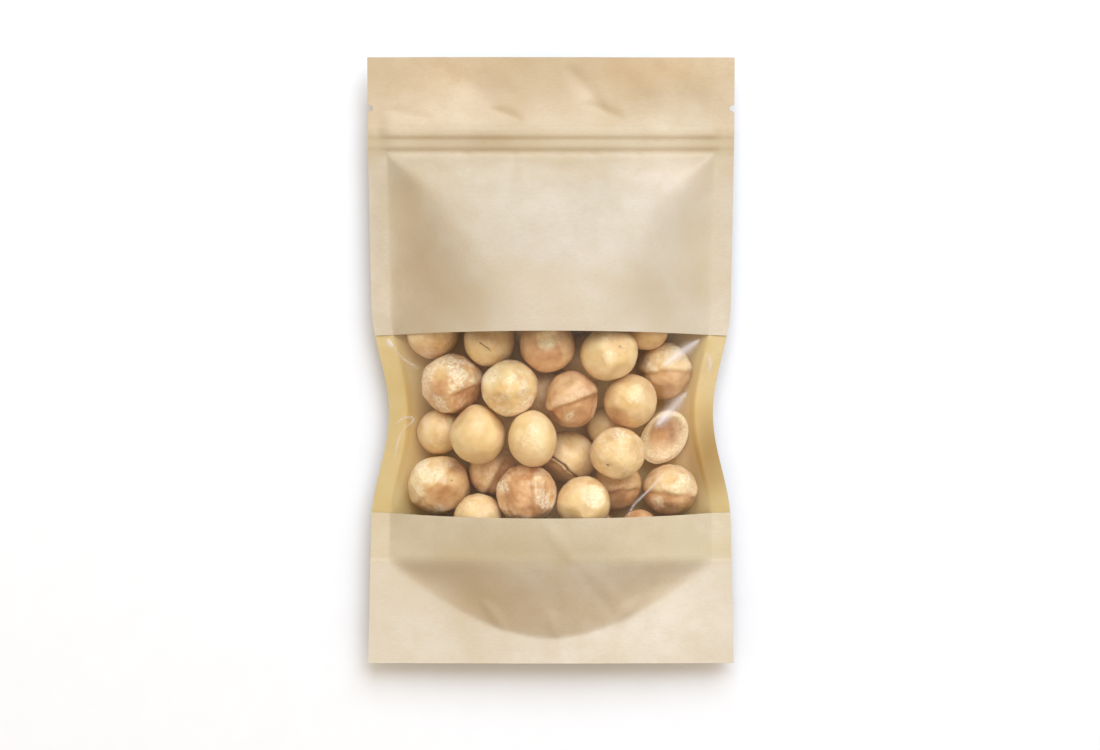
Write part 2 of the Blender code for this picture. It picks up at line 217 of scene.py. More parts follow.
def crossSection(x, y, share=1.0):
    # 1 along the middle and 0 at the side seals
    across = np.clip(abs(x) / (halfWidth(y) - pillow["sideSeal"]), 0, 1)
    return (1 - across ** smoothCurve(pillow["power"], y)) ** (share * smoothCurve(pillow["squareness"], y))


def upTheGusset(x, y):
    # 0 at the curved seal and 1 at the fold
    arc = sealArc(x)
    return np.clip((y - arc) / np.maximum(foldLine - arc, 0.01), 0, 1)


def filledHeight(x, y):
    bend = foldBend["reach"] * stepUp(y, *foldBend["comes"]) * (1 - stepUp(y, *foldBend["goes"]))
    return sum(share * sharpFilledHeight(x, y + at * bend) for at, share in foldBend["shares"])


def sharpFilledHeight(x, y):
    above = np.maximum(y, foldLine)
    side = smoothCurve(pillow["rise"], above) * crossSection(x, above)
    height = lowerOf(side, smoothCurve(pillow["end"], above), pillow["hip"])
    up = upTheGusset(x, y)
    gentler = gussetSeal["sideSteepness"] - gussetSeal["middleSteepness"]
    steepness = gussetSeal["middleSteepness"] + gentler * stepUp(abs(x), *gussetSeal["gentlerBetween"])
    share = steepness * up + (1 - steepness) * up ** gussetSeal["bow"]
    return np.where(y < foldLine, height * share, height)


def flapOpening(x, y):
    across = np.clip(1 - (x / gussetSeal["halfWidth"]) ** 2, 0, 1)
    return gussetSeal["flapOpening"] * across * np.clip(1 - (y / foldLine) ** 2, 0, 1)


# Soft dents in the header, which bend both webs: start, end, half-width and depth.
headerCreases = [
    ((-18.5, 166.4), (-8.0, 162.0), 2.0, 1.0), ((9, 168), (23, 162.2), 2.2, 1.1),
    ((4.5, 179), (16.5, 165), 2.8, 1.0), ((-50, 166), (-35, 162.2), 2.2, 0.6),
    ((-34, 180), (-14, 165), 4.0, 0.6), ((30, 180), (47, 165), 4.2, 0.6),
    ((-20, 181), (-9, 172), 3.4, -0.4), ((22, 180), (33, 170), 3.6, -0.4),
]


def seamWave(x, y):
    # the header's curl and dents, and the waves of welded laminate in every seam
    side = 1 - header["lopsided"] + header["lopsided"] * np.cos(x / header["lopsidedSize"] + 0.6)
    up = np.clip((y - header["curlFrom"]) / header["curlOver"], 0, 1)
    curl = header["curl"] * up ** header["curlBend"] * side
    seams = wave("header", x, y, stepUp(y, *header["begins"])) + wave("seams", x, y)
    bottom = wave("bottom", x, y, 1 - stepUp(y, 6, 30))
    return curl + seams + bottom + sum(crease(x, y, *line) for line in headerCreases)


def zipHeight(x, y):
    start, stop = zipRelief["crushedBetween"]
    ends = 1 - (1 - zipRelief["crushed"]) * stepUp(abs(x), zipHalf + start, zipHalf + stop)
    return smoothCurve(zipRelief["profile"], y) * ends


def layersApart(x, y):
    # half of what the folded gusset keeps the webs apart: a step at its fold, crisp in the side seals only
    reach = gussetSeal["stepReach"] - gussetSeal["crisperBy"] * stepUp(abs(x), *gussetSeal["crisperBetween"])
    return webs["bond"] + gussetSeal["layers"] / 2 * (1 - stepUp(y, foldLine, foldLine + reach))


def crease(x, y, start, end, width, depth):
    # a soft valley, or with a negative depth a ridge, from start to end; it fades out at both ends
    dx, dy = end[0] - start[0], end[1] - start[1]
    length = math.hypot(dx, dy)
    along = ((x - start[0]) * dx + (y - start[1]) * dy) / length**2
    off = ((x - start[0]) * -dy + (y - start[1]) * dx) / length
    fade = np.clip(4 * along * (1 - along), 0, 1) * ((along > 0) & (along < 1))
    body = width * (0.35 + 0.65 * fade)
    return -depth * fade * np.exp(-((off / body) ** 2))


# Creases in the front: start, end, half-width and depth. A negative depth is a ridge.
frontCreases = [
    # under the zip, where the web breaks over its edge
    ((-25.5, 154.0), (-23.5, 141.0), 1.8, 0.6), ((-10.8, 154.0), (-11.4, 143.0), 1.6, 0.5),
    ((12.6, 154.0), (16.5, 141.0), 2.0, 0.6), ((27, 153), (24, 145), 1.8, 0.35),
    ((-37, 152.5), (-33, 145), 1.6, 0.3), ((3.5, 153), (2, 147), 1.8, 0.3),
    # the folded gusset shows through the lower front
    ((6, 31.5), (20.5, 11.5), 2.2, 0.45), ((-3, 29), (-13.5, 11.8), 2.6, 0.3),
    ((11, 29), (25, 14), 2.6, -0.35), ((2.6, 25), (1.4, 8.5), 2.6, 0.25),
    ((-21, 27), (-14.6, 12), 2.4, -0.2), ((-3.5, 45), (7.5, 30), 2.4, -0.5),
    # short puckers where the curved seal is pinched
    ((-21.0, 20.0), (-13.4, 9.8), 1.8, -0.6), ((-0.6, 17.0), (1.8, 7.4), 1.9, -0.6),
    ((27.0, 20.5), (18.8, 11.2), 1.9, -0.6),
    # pulls beside the window and along the side seals
    ((-49, 96), (-40, 112), 1.6, 0.3), ((49, 96), (41, 110), 1.6, 0.3), ((-50, 39), (-40, 46), 1.5, 0.25),
    ((50, 38.5), (40, 45.5), 1.5, 0.25), ((-30, 43), (-22, 34), 2.8, 0.25), ((24, 44), (33, 35), 2.8, 0.3),
]


def frontHeight(x, y):
    filled = filledHeight(x, y)
    height = layersApart(x, y) + seamWave(x, y) + flapOpening(x, y) + filled + zipHeight(x, y)
    for line in frontCreases:
        height = height + crease(x, y, *line)
    slack = stepUp(filled, 0.3, 6)
    return height + slack * (wave("front", x, y) + wave("frontFine", x, y))


def backHeight(x, y):
    room = seamHeight - webs["kraft"] - webs["bond"]
    above = np.maximum(y, foldLine)
    bulge = smoothCurve(pillow["sag"], y) * crossSection(x, above, pillow["backShare"])
    bulge = np.where(y < foldLine, bulge * np.minimum(upTheGusset(x, y) * gussetSeal["backFill"], 1), bulge)
    # the table stops it, and its edge is rounded
    share = np.clip(bulge / (1.5 * room), 0, 1)
    flattened = room * share * (3 - share**2) / 2
    slack = stepUp(flattened, 0.4, 3) * (1 - stepUp(flattened, room - 1.5, room - 0.1))
    height = seamWave(x, y) - layersApart(x, y) - flapOpening(x, y) - flattened
    # in the side seals, past the ends of the zip, it is welded to the front
    start, stop = zipRelief["weldedBetween"]
    welded = stepUp(abs(x), zipHalf + start, zipHalf + stop)
    zipShare = welded - zipRelief["backShare"] * (1 - welded)
    height = height + zipShare * zipHeight(x, y) + wave("back", x, y, slack)
    # the kernels push it out at the sides
    return np.maximum(pushedByKernels(x, y, height, drape["clearBelow"], -1), webs["kraft"] - seamHeight)


def pushedByKernels(x, y, surface, clear, side):
    # the surface laid over the kernels that reach it: over their tops with side 1, and under them with -1
    for centre, radius in balls:
        cx, cy, cz = centre.x / mm, (centre.y - bottomEdge) / mm, (centre.z - seamPlane) / mm
        inside = np.clip((radius / mm + clear) ** 2 - (x - cx) ** 2 - (y - cy) ** 2, 0, None)
        ball = cz + side * np.sqrt(inside)
        eased = softHigher(side * surface, side * ball)
        surface = np.where(inside > 0, side * np.maximum(side * surface, eased), surface)
    return surface


def notch(y):
    # the tear notch: a slot with a round end, in both side edges
    off = (y - notches["at"]) / notches["half"]
    return notches["depth"] * np.sqrt(np.clip(1 - off**2, 0, 1)) ** notches["roundness"]


def placeRows(low, high, step, fine):
    # rows from low to high, closer together near the fine places, each (place, reach, step)
    rows = [low]
    while rows[-1] < high:
        near = [s for place, reach, s in fine if abs(rows[-1] - place) < reach]
        rows.append(rows[-1] + min(near + [step]))
    rows[-1] = high
    return np.array(rows)


def placeColumns(step, edgeStep, edgeFrom=0.8):
    # shares of the half-width, closer together over the steep sides
    shares = [0.0]
    while shares[-1] < 1:
        shares.append(shares[-1] + (edgeStep if shares[-1] > edgeFrom else step) / pouchHalf)
    shares[-1] = 1.0
    right = np.array(shares)
    return np.concatenate([-right[:0:-1], right])


def layGrid(name, columns, rowCount):
    # a flat grid, with each point's share of the half-width and the number of its row
    deselectAll()
    bpy.ops.mesh.primitive_grid_add(x_subdivisions=len(columns) - 1, y_subdivisions=rowCount - 1, size=2)
    grid = bpy.context.object
    grid.name = name
    counts = np.array([len(columns) - 1, rowCount - 1])
    column, row = np.rint((readPoints(grid.data)[:, :2] + 1) / 2 * counts).astype(int).T
    return grid, columns[column], row


def layWeb(name, rows, columns, bow=0.0, bowAt=0.0):
    # a grid spread over the pouch; bow draws its edge at bowAt along y, as paper does when it bulges
    web, share, row = layGrid(name, columns, len(rows))
    y = rows[row] + bow * (1 - share**2) * (1 - stepUp(abs(rows[row] - bowAt), 0, 14))
    x = share * halfWidth(y) - np.sign(share) * notch(y) * stepUp(abs(share), 0.94, 1)
    return web, x, y


def offSurface(surface, x, y, lift):
    # points lift millimetres off the surface along its normal
    step = 0.05
    z = surface(x, y)
    slopeX = (surface(x + step, y) - surface(x - step, y)) / (2 * step)
    slopeY = (surface(x, y + step) - surface(x, y - step)) / (2 * step)
    size = np.sqrt(1 + slopeX**2 + slopeY**2)
    return np.stack([x - lift * slopeX / size, y - lift * slopeY / size, z + lift / size], axis=1)


def placeWeb(web, points, thickness, side, finishes, shell=0):
    # from pouch millimetres to the frame's metres; then the web gets its thickness, and its cut edge the
    # last finish
    writePoints(web.data, points * mm + np.array([0, bottomEdge, seamPlane]))
    for finish in finishes:
        web.data.materials.append(finish)
    applyModifier(web, "SOLIDIFY", thickness=thickness * mm, offset=side, material_offset=shell,
                  material_offset_rim=len(finishes) - 1)
    makeActive(web)
    bpy.ops.object.shade_smooth_by_angle(angle=math.radians(50))


def paintPoints(piece, name, values):
    # a number, or a colour of four, for each point, which the materials read
    values = np.asarray(values, np.float32)
    kind, field = ("FLOAT", "value") if values.ndim == 1 else ("FLOAT_COLOR", "color")
    piece.data.attributes.new(name, kind, "POINT").data.foreach_set(field, values.ravel())


def toLinear(hexColour):
    channels = [int(hexColour[i:i + 2], 16) / 255 for i in (1, 3, 5)]
    return tuple(c / 12.92 if c <= 0.04045 else ((c + 0.055) / 1.055) ** 2.4 for c in channels) + (1.0,)


def plugIn(material, node, sockets):
    # a node is linked by its first output, a socket as it is, and a value is set; i2 is the third input
    for name, value in sockets.items():
        socket = node.inputs[int(name[1:]) if name[0] == "i" and name[1:].isdigit() else name]
        if isinstance(value, bpy.types.Node):
            value = value.outputs[0]
        if isinstance(value, bpy.types.NodeSocket):
            material.node_tree.links.new(value, socket)
        else:
            socket.default_value = value


def addNode(material, kind, settings=None, **sockets):
    node = material.node_tree.nodes.new("ShaderNode" + kind)
    for setting, value in (settings or {}).items():
        setattr(node, setting, value)
    plugIn(material, node, sockets)
    return node


def newMaterial(name):
    # the material, its shader, and the places on the piece that its patterns follow
    material = bpy.data.materials.new(name)
    material.use_nodes = True
    place = addNode(material, "TexCoord").outputs["Object"]
    return material, material.node_tree.nodes["Principled BSDF"], place


def setRamp(node, *stops):
    ramp = node.color_ramp
    while len(ramp.elements) < len(stops):
        ramp.elements.new(0.5)
    for element, (place, colour) in zip(ramp.elements, stops):
        element.position = place
        element.color = toLinear(colour) if isinstance(colour, str) else (colour, colour, colour, 1)
    return node


# Unbleached kraft paper laminated to plastic film: long fibres lie mostly across the pouch, pulp clouds tint
# it, and the varnish over it gives a dull satin gloss. The attribute "tint" carries slow changes of its tone,
# and painted light and shade.
kraftLook = {
    "pale": "#CABFA9", "middle": "#C2B69F", "warm": "#BBAB8D", "fibreDark": "#A8926F", "fleck": "#93795A",
    "roughness": 0.62, "gloss": 0.5,
    "cloudSize": 30.0, "blotchSize": 6.0, "fibreLength": 1.6, "fibreWidth": 0.3, "fleckSize": 0.7,
}
insideLook = {**kraftLook, "pale": "#CDC09A", "middle": "#C6B78D", "warm": "#BFAD7E", "fibreDark": "#AE9866",
              "roughness": 0.4}
# Red, green and blue shares of the paper's colour at each height up the front: partly its tone, and partly
# painted light and shade that make the flap and the middle of the pillow paler and the header darker. The
# webs inside have the shares of one height. Clouds of pulp wander off it by toneWander.
innerToneAndShadeAt = 75
toneAndShadeUpThePouch = [
    (0, (1.18, 1.21, 1.33)), (28, (1.18, 1.21, 1.33)), (34, (1.13, 1.13, 1.10)), (60, (1.1, 1.09, 1.08)),
    (98, (1.05, 1.05, 1.10)), (115, (1.04, 1.04, 1.09)), (138, (0.98, 0.98, 1.02)), (150, (0.99, 0.97, 0.97)),
    (156, (1.02, 0.99, 0.95)), (164, (1.05, 0.98, 0.92)), (181.5, (1.02, 0.94, 0.86)),
]
toneWander = (0.014, 0.022, 0.04)
# Patches, mostly of painted light and shade, over the paper's tone: where, how far they reach along x and y,
# and their shares of red, green and blue.
frontLightAndShadePatches = [((-38, 118), (12, 26), (0.93, 0.85, 0.73)), ((0, 16), (36, 11), (0.82, 0.74, 0.63)),
                ((-32, 26), (14, 7), (0.96, 0.93, 0.88)), ((34, 30), (14, 20), (1.04, 1.04, 1.02)),
                ((-32, 177), (16, 6), (1.0, 0.95, 0.88)), ((32, 178), (20, 6), (1.0, 0.94, 0.85)),
                ((38, 169), (15, 8), (0.88, 0.87, 0.84)), ((-22, 157), (19, 3.4), (0.86, 0.82, 0.77)),
                ((0, 126), (36, 16), (0.94, 0.935, 0.95)), ((36, 147), (12, 7), (1.14, 1.14, 1.2)),
                ((0, 148.5), (30, 4), (1.08, 1.09, 1.13)), ((6, 157), (22, 3.2), (1.09, 1.13, 1.2)),
                ((-44, 134), (6, 8), (1.08, 1.06, 1.0)), ((43, 127), (8, 18), (1.08, 1.08, 1.07)),
                ((30, 23), (11, 7), (0.95, 0.92, 0.88)),
                ((-52, 128), (4, 24), (0.93, 0.93, 0.91))]
backLightAndShadePatches = [((47, 62), (8, 14), (0.56, 0.44, 0.26)), ((-46, 93), (5, 6), (1.04, 1.04, 1.1)),
               ((46, 90), (6, 10), (0.97, 0.97, 1.0)), ((0, 65), (40, 60), (1.3, 1.06, 0.9)),
               ((-40, 70), (5, 27), (1.2, 1.17, 1.14)), ((39, 72), (5, 26), (1.2, 1.16, 1.12)),
               ((-49, 74), (5, 10), (0.95, 0.98, 1.0)), ((-48, 78), (60, 60), (0.97, 0.99, 1.0))]


def paperTint(x, y, toneAndShadePatches, toneAt):
    # patches of painted light and shade a few centimetres wide, over the slow change up the pouch, itself
    # partly painted light and shade; none reaches onto the flap
    tones = [smoothCurve([(at, tone[i]) for at, tone in toneAndShadeUpThePouch], toneAt) for i in range(3)]
    tones = np.stack(tones, axis=-1)
    clouds = wave("tone", x, y) + wave("toneFine", x, y)
    tones = tones * (1 + clouds[..., None] * np.array(toneWander))
    for (atX, atY), (reachX, reachY), shares in toneAndShadePatches:
        strength = np.exp(-(((x - atX) / reachX) ** 2) - ((y - atY) / reachY) ** 2)
        strength = np.where(y < foldLine, strength * stepUp(y - sealArc(x), -0.4, 1.6), strength)
        tones = tones * (1 + strength[..., None] * (np.array(shares) - 1))
    return np.concatenate([tones, np.ones(np.shape(y) + (1,))], axis=-1)


def makeKraft(name, look):
    material, shader, place = newMaterial(name)
    clouds = addNode(material, "TexNoise", Vector=place, Scale=1 / (look["cloudSize"] * mm), Detail=2.0)
    blotches = addNode(material, "TexNoise", Vector=place, Scale=1 / (look["blotchSize"] * mm), Detail=3.0)
    # fibres: a noise drawn out across the pouch, the way the reel ran
    stretch = addNode(material, "Mapping", Vector=place,
                      Scale=(1 / look["fibreLength"], 1 / look["fibreWidth"], 1 / look["fibreWidth"]))
    fibres = addNode(material, "TexNoise", Vector=stretch, Scale=1 / mm, Detail=2.0)
    flecks = addNode(material, "TexNoise", Vector=place, Scale=1 / (look["fleckSize"] * mm), Detail=1.0)
    tint = setRamp(addNode(material, "ValToRGB", Fac=clouds),
                   (0.3, look["warm"]), (0.5, look["middle"]), (0.68, look["pale"])).outputs[0]
    blotch = setRamp(addNode(material, "ValToRGB", Fac=blotches), (0.35, 0.0), (0.7, 0.45))
    strand = setRamp(addNode(material, "ValToRGB", Fac=fibres), (0.42, 0.0), (0.75, 0.22))
    fleck = setRamp(addNode(material, "ValToRGB", Fac=flecks), (0.72, 0.0), (0.8, 0.2))
    for share, colour in ((blotch, "warm"), (strand, "fibreDark"), (fleck, "fleck")):
        tint = addNode(material, "Mix", {"data_type": "RGBA"}, i0=share, i6=tint,
                       i7=toLinear(look[colour])).outputs[2]
    # the paper's tone and its painted light and shade, from the attribute, multiply the colour
    tone = addNode(material, "Attribute", {"attribute_name": "tint"})
    tint = addNode(material, "Mix", {"data_type": "RGBA", "blend_type": "MULTIPLY"}, i0=1.0, i6=tint,
                   i7=tone.outputs["Color"]).outputs[2]
    bump = addNode(material, "Bump", Height=fibres, Strength=0.15, Distance=0.02 * mm)
    bump = addNode(material, "Bump", Height=blotches, Strength=0.5, Distance=0.16 * mm, Normal=bump)
    plugIn(material, shader, {"Base Color": tint, "Roughness": look["roughness"], "Normal": bump,
                              "Specular IOR Level": look["gloss"]})
    return material


def makePaperEdge(name):
    # the slit edge: raw, paler pulp with no varnish
    material, shader, place = newMaterial(name)
    pulp = addNode(material, "TexNoise", Vector=place, Scale=1 / (0.5 * mm), Detail=3.0)
    tint = setRamp(addNode(material, "ValToRGB", Fac=pulp), (0.3, "#CDBCA0"), (0.7, "#DDD0B8"))
    plugIn(material, shader, {"Base Color": tint, "Roughness": 0.85})
    return material


def makeFilm(name):
    # cast polypropylene film: clear, with a gloss that grows at a glancing angle, and milky where creased;
    # the milky white along the creases is partly painted highlight
    material, shader, place = newMaterial(name)
    nodes = material.node_tree.nodes
    nodes.remove(shader)
    haze = addNode(material, "TexNoise", Vector=place, Scale=1 / (9 * mm), Detail=2.0)
    rough = addNode(material, "MapRange", Value=haze)
    plugIn(material, rough, {"To Min": 0.05, "To Max": 0.12})
    tint = setRamp(addNode(material, "ValToRGB", Fac=haze), (0.3, "#FDFCF8"), (0.7, "#FCFAF3"))
    clear = addNode(material, "BsdfTransparent", Color=tint)
    gloss = addNode(material, "BsdfGlossy", Color=toLinear("#FFFFFF"), Roughness=rough)
    facing = addNode(material, "LayerWeight", Blend=0.5)
    power = addNode(material, "Math", {"operation": "POWER"}, i0=facing.outputs["Facing"], i1=5.0)
    share = addNode(material, "Math", {"operation": "MULTIPLY_ADD"}, i0=power, i1=0.5, i2=0.035)
    # the two faces are one thin sheet, so only the one towards the eye reflects
    outer = addNode(material, "Math", {"operation": "SUBTRACT"}, i0=1.0,
                    i1=addNode(material, "NewGeometry").outputs["Backfacing"])
    share = addNode(material, "Math", {"operation": "MULTIPLY"}, i0=share, i1=outer)
    mix = addNode(material, "MixShader", i0=share, i1=clear, i2=gloss)
    # milky white along the creases, partly painted highlight
    crease = addNode(material, "Attribute", {"attribute_name": "crease"})
    milkAndGlint = addNode(material, "BsdfDiffuse", Color=toLinear("#F3E9EA"))
    milkAndGlintShare = addNode(material, "Math", {"operation": "MULTIPLY"}, i0=crease.outputs["Fac"], i1=outer)
    whole = addNode(material, "MixShader", i0=milkAndGlintShare, i1=mix, i2=milkAndGlint)
    plugIn(material, nodes["Material Output"], {"Surface": whole})
    return material


def makeZipPlastic(name):
    # extruded low-density polyethylene: milky, waxy, with fine lines along the strip
    material, shader, place = newMaterial(name)
    stretch = addNode(material, "Mapping", Vector=place, Scale=(0.02, 1, 1))
    lines = addNode(material, "TexNoise", Vector=stretch, Scale=1 / (0.25 * mm), Detail=2.0)
    tint = setRamp(addNode(material, "ValToRGB", Fac=lines), (0.3, "#DDDCD3"), (0.7, "#EFEEE8"))
    bump = addNode(material, "Bump", Height=lines, Strength=0.3, Distance=0.02 * mm)
    plugIn(material, shader, {"Base Color": tint, "Roughness": 0.38, "Normal": bump,
                              "Subsurface Weight": 0.2, "Subsurface Scale": 0.5 * mm})
    return material


# Dry-roasted macadamia: a dense, oily, cream kernel that turns tan as it roasts, dusted with its own flour.
# The attribute "skin" carries how tan, how dusty and how deeply split each place is; its tan and dust are
# partly painted light and shade.
kernelLook = {
    "cream": "#F4DDB3", "creamDeep": "#E9CA97", "tan": "#E0B690", "tanDeep": "#C8946A", "flour": "#FFF9EE",
    "split": "#6E4428", "grainSize": 0.7, "cloudSize": 4.5,
}


def makeKernelSkin(name, look):
    material, shader, place = newMaterial(name)
    skin = addNode(material, "Attribute", {"attribute_name": "skin"})
    parts = addNode(material, "SeparateColor", Color=skin.outputs["Color"])
    clouds = addNode(material, "TexNoise", Vector=place, Scale=1 / (look["cloudSize"] * mm), Detail=3.0)
    grain = addNode(material, "TexNoise", Vector=place, Scale=1 / (look["grainSize"] * mm), Detail=3.0)
    cream = setRamp(addNode(material, "ValToRGB", Fac=clouds),
                    (0.35, look["creamDeep"]), (0.62, look["cream"]))
    tan = setRamp(addNode(material, "ValToRGB", Fac=clouds), (0.35, look["tanDeep"]), (0.62, look["tan"]))
    tint = addNode(material, "Mix", {"data_type": "RGBA"}, i0=parts, i6=cream, i7=tan)
    dust = addNode(material, "Math", {"operation": "MULTIPLY_ADD"}, i0=grain, i1=2.2, i2=-0.6)
    dust = addNode(material, "Math", {"operation": "MULTIPLY", "use_clamp": True}, i0=dust,
                   i1=parts.outputs[1])
    tint = addNode(material, "Mix", {"data_type": "RGBA"}, i0=dust, i6=tint.outputs[2],
                   i7=toLinear(look["flour"]))
    tint = addNode(material, "Mix", {"data_type": "RGBA"}, i0=parts.outputs[2], i6=tint.outputs[2],
                   i7=toLinear(look["split"]))
    rough = addNode(material, "MapRange", Value=grain)
    plugIn(material, rough, {"To Min": 0.3, "To Max": 0.44})
    dull = addNode(material, "Math", {"operation": "MULTIPLY_ADD"}, i0=dust, i1=0.4, i2=rough)
    bump = addNode(material, "Bump", Height=grain, Strength=0.5, Distance=0.14 * mm)
    plugIn(material, shader, {"Base Color": tint.outputs[2], "Roughness": dull, "IOR": 1.56,
                              "Subsurface Weight": 0.22, "Subsurface Radius": (1.0, 0.55, 0.25),
                              "Subsurface Scale": 1.2 * mm, "Normal": bump})
    return material


kraft = makeKraft("kraftPaperLaminate", kraftLook)
kraftInside = makeKraft("kraftLaminateInside", insideLook)
paperEdge = makePaperEdge("slitKraftEdge")
clearFilm = makeFilm("castPolypropyleneFilm")
zipPlastic = makeZipPlastic("extrudedPolyethyleneZip")
kernelSkin = makeKernelSkin("dryRoastedMacadamia", kernelLook)
print("materials made")

# Where each kernel lies, and the ball that holds it. The CAD solids are a little inside the true kernels.
kernelNames = sorted(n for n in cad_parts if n.startswith("kernel_") and n != "kernel_half")
kernelFill = 1.035


def kernelBall(node):
    low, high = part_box(node)
    return (low + high) / 2, max(high - low) / 2 * kernelFill


balls = [kernelBall(n) for n in kernelNames]
halfLow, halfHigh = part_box("kernel_half")

# The film sags a little between the kernels that hold it up, and the lowest kernels push the back out.
drape = {"sag": 0.4, "clear": 0.2, "clearBelow": 0.45, "edge": 5.0, "hemmed": 0.5, "whereFilled": (1, 8)}


def filmHeight(x, y):
    base = frontHeight(x, y)
    edge, hem = drape["edge"], drape["hemmed"]
    inWindow = stepUp(y, windowLow + hem, windowLow + edge)
    inWindow = inWindow * (1 - stepUp(y, windowHigh - edge, windowHigh - hem))
    propped = pushedByKernels(x, y, base - drape["sag"], drape["clear"], 1)
    filled = stepUp(filledHeight(x, y), *drape["whereFilled"])
    height = base + (propped - base) * inWindow * filled
    for points, width, lift, _ in filmCreases:
        height = height + lift * alongLine(x, y, points, width)
    return height


# Creases that the film was pressed into: the line, its half-width and height, and how milky it is. The milk
# is partly painted highlight, in streaks where the film catches the light.
filmCreases = [
    ([(33.4, 89.4), (36.5, 91.6), (44.0, 96.6)], 1.35, 0.5, 0.5),
    ([(31.6, 72.0), (35.5, 76.0), (40.2, 80.9)], 1.5, 0.4, 0.42),
    ([(31.0, 71.0), (35.0, 75.5)], 1.7, 0.2, 0.25),
    ([(22.2, 44.4), (24.6, 48.6), (29.0, 52.6), (34.2, 57.9)], 0.26, 0.2, 0.5),
    ([(47.1, 92.7), (47.8, 90.0), (47.6, 87.5)], 0.5, 0.2, 0.4),
    ([(-49.2, 96.9), (-48.4, 95.6), (-47.2, 94.8)], 0.6, 0.2, 0.5),
    ([(-47.2, 94.8), (-44.4, 91.4), (-39.4, 88.4)], 0.3, 0.15, 0.45),
    ([(-46.4, 71.9), (-44.5, 73.4), (-41.8, 73.9), (-40.8, 73.0), (-42.6, 71.4), (-44.4, 70.2)],
     0.28, 0.15, 0.55),
    ([(-44.4, 70.2), (-46.2, 65.7), (-47.1, 61.2)], 0.26, 0.12, 0.4),
]


def alongLine(x, y, points, width):
    # 1 on the line and 0 a few widths off it, thinning out at both ends
    nearest, share = np.full(np.shape(x), 1e9), np.zeros(np.shape(x))
    lengths = [math.dist(a, b) for a, b in zip(points[:-1], points[1:])]
    total, done = sum(lengths), 0.0
    for (ax, ay), (bx, by), length in zip(points[:-1], points[1:], lengths):
        t = np.clip(((x - ax) * (bx - ax) + (y - ay) * (by - ay)) / length**2, 0, 1)
        off = np.hypot(x - ax - t * (bx - ax), y - ay - t * (by - ay))
        share = np.where(off < nearest, (done + t * length) / total, share)
        nearest = np.minimum(nearest, off)
        done += length
    body = width * (0.3 + 2.8 * share * (1 - share))
    return np.exp(-((nearest / body) ** 2))


# How far apart the points of each web lie: the step at large, then (place, reach, step) of the fine places.
meshing = {
    "columns": (0.62, 0.42), "gussetColumns": (1.0, 0.7),
    "film": (1.1, [((windowLow + windowHigh) / 2, 27.5, 0.55), (notches["at"], 1.3, 0.3)]),
    "ply": (0.62, [(foldLine, 1.6, 0.35), (notches["at"], 1.3, 0.16), (zipMiddle, 4.8, 0.4)]),
    "back": (0.95, [(notches["at"], 1.3, 0.2), (zipMiddle, 4.8, 0.5)]),
}
# how far the edge of each ply bows along the pouch at the window
bows = {"upper": 1.1, "lower": -0.9}


def makeWebs():
    columns = placeColumns(*meshing["columns"])
    rows = placeRows(0, pouchLength, *meshing["film"])
    film, x, y = layWeb("frontFilm", rows, columns)
    milkAndGlintShare = sum(milkAndGlint * alongLine(x, y, points, width) for points, width, _, milkAndGlint in filmCreases)
    # milky white along the creases, partly painted highlight
    paintPoints(film, "crease", np.clip(milkAndGlintShare, 0, 0.8))
    placeWeb(film, offSurface(filmHeight, x, y, 0), webs["film"], 1, [clearFilm])
    finishPiece(film, "clear_film", "front_film")

    for name, node, low, high, bow, bowAt in (
            ("frontKraftUpper", "front_kraft_upper", windowHigh, pouchLength, bows["upper"], windowHigh),
            ("frontKraftLower", "front_kraft_lower", 0, windowLow, bows["lower"], windowLow)):
        rows = placeRows(low, high, *meshing["ply"])
        ply, x, y = layWeb(name, rows, columns, bow, bowAt)
        # painted light and shade over the paper's tone
        paintPoints(ply, "tint", paperTint(x, y, frontLightAndShadePatches, y))
        onFilm = offSurface(frontHeight, x, y, webs["film"] + webs["gap"])
        placeWeb(ply, onFilm, webs["kraft"], 1, [kraft, paperEdge])
        finishPiece(ply, "kraft_laminate", node)

    rows = placeRows(0, pouchLength, *meshing["back"])
    back, x, y = layWeb("backPanel", rows, columns)
    # painted light beside the kernels inside, and painted shade in one patch on the right
    paintPoints(back, "tint", paperTint(x, y, backLightAndShadePatches, y * 0 + innerToneAndShadeAt))
    placeWeb(back, offSurface(backHeight, x, y, 0), webs["kraft"], -1, [kraftInside, kraft, paperEdge], 1)
    finishPiece(back, "kraft_laminate", "back_panel")


makeWebs()
print("film, kraft plies and back made")

# The gusset: up under the front flap, round its fold, and down over the back flap. Its legs follow the
# bulge of the front a little, and the back leg no more than backBulge.
gusset = {"legApart": 0.09, "followBulge": 0.3, "backBulge": 5, "foldRadius": 0.5, "foldBelow": 1.0,
          "legRows": 46, "foldRows": 6}


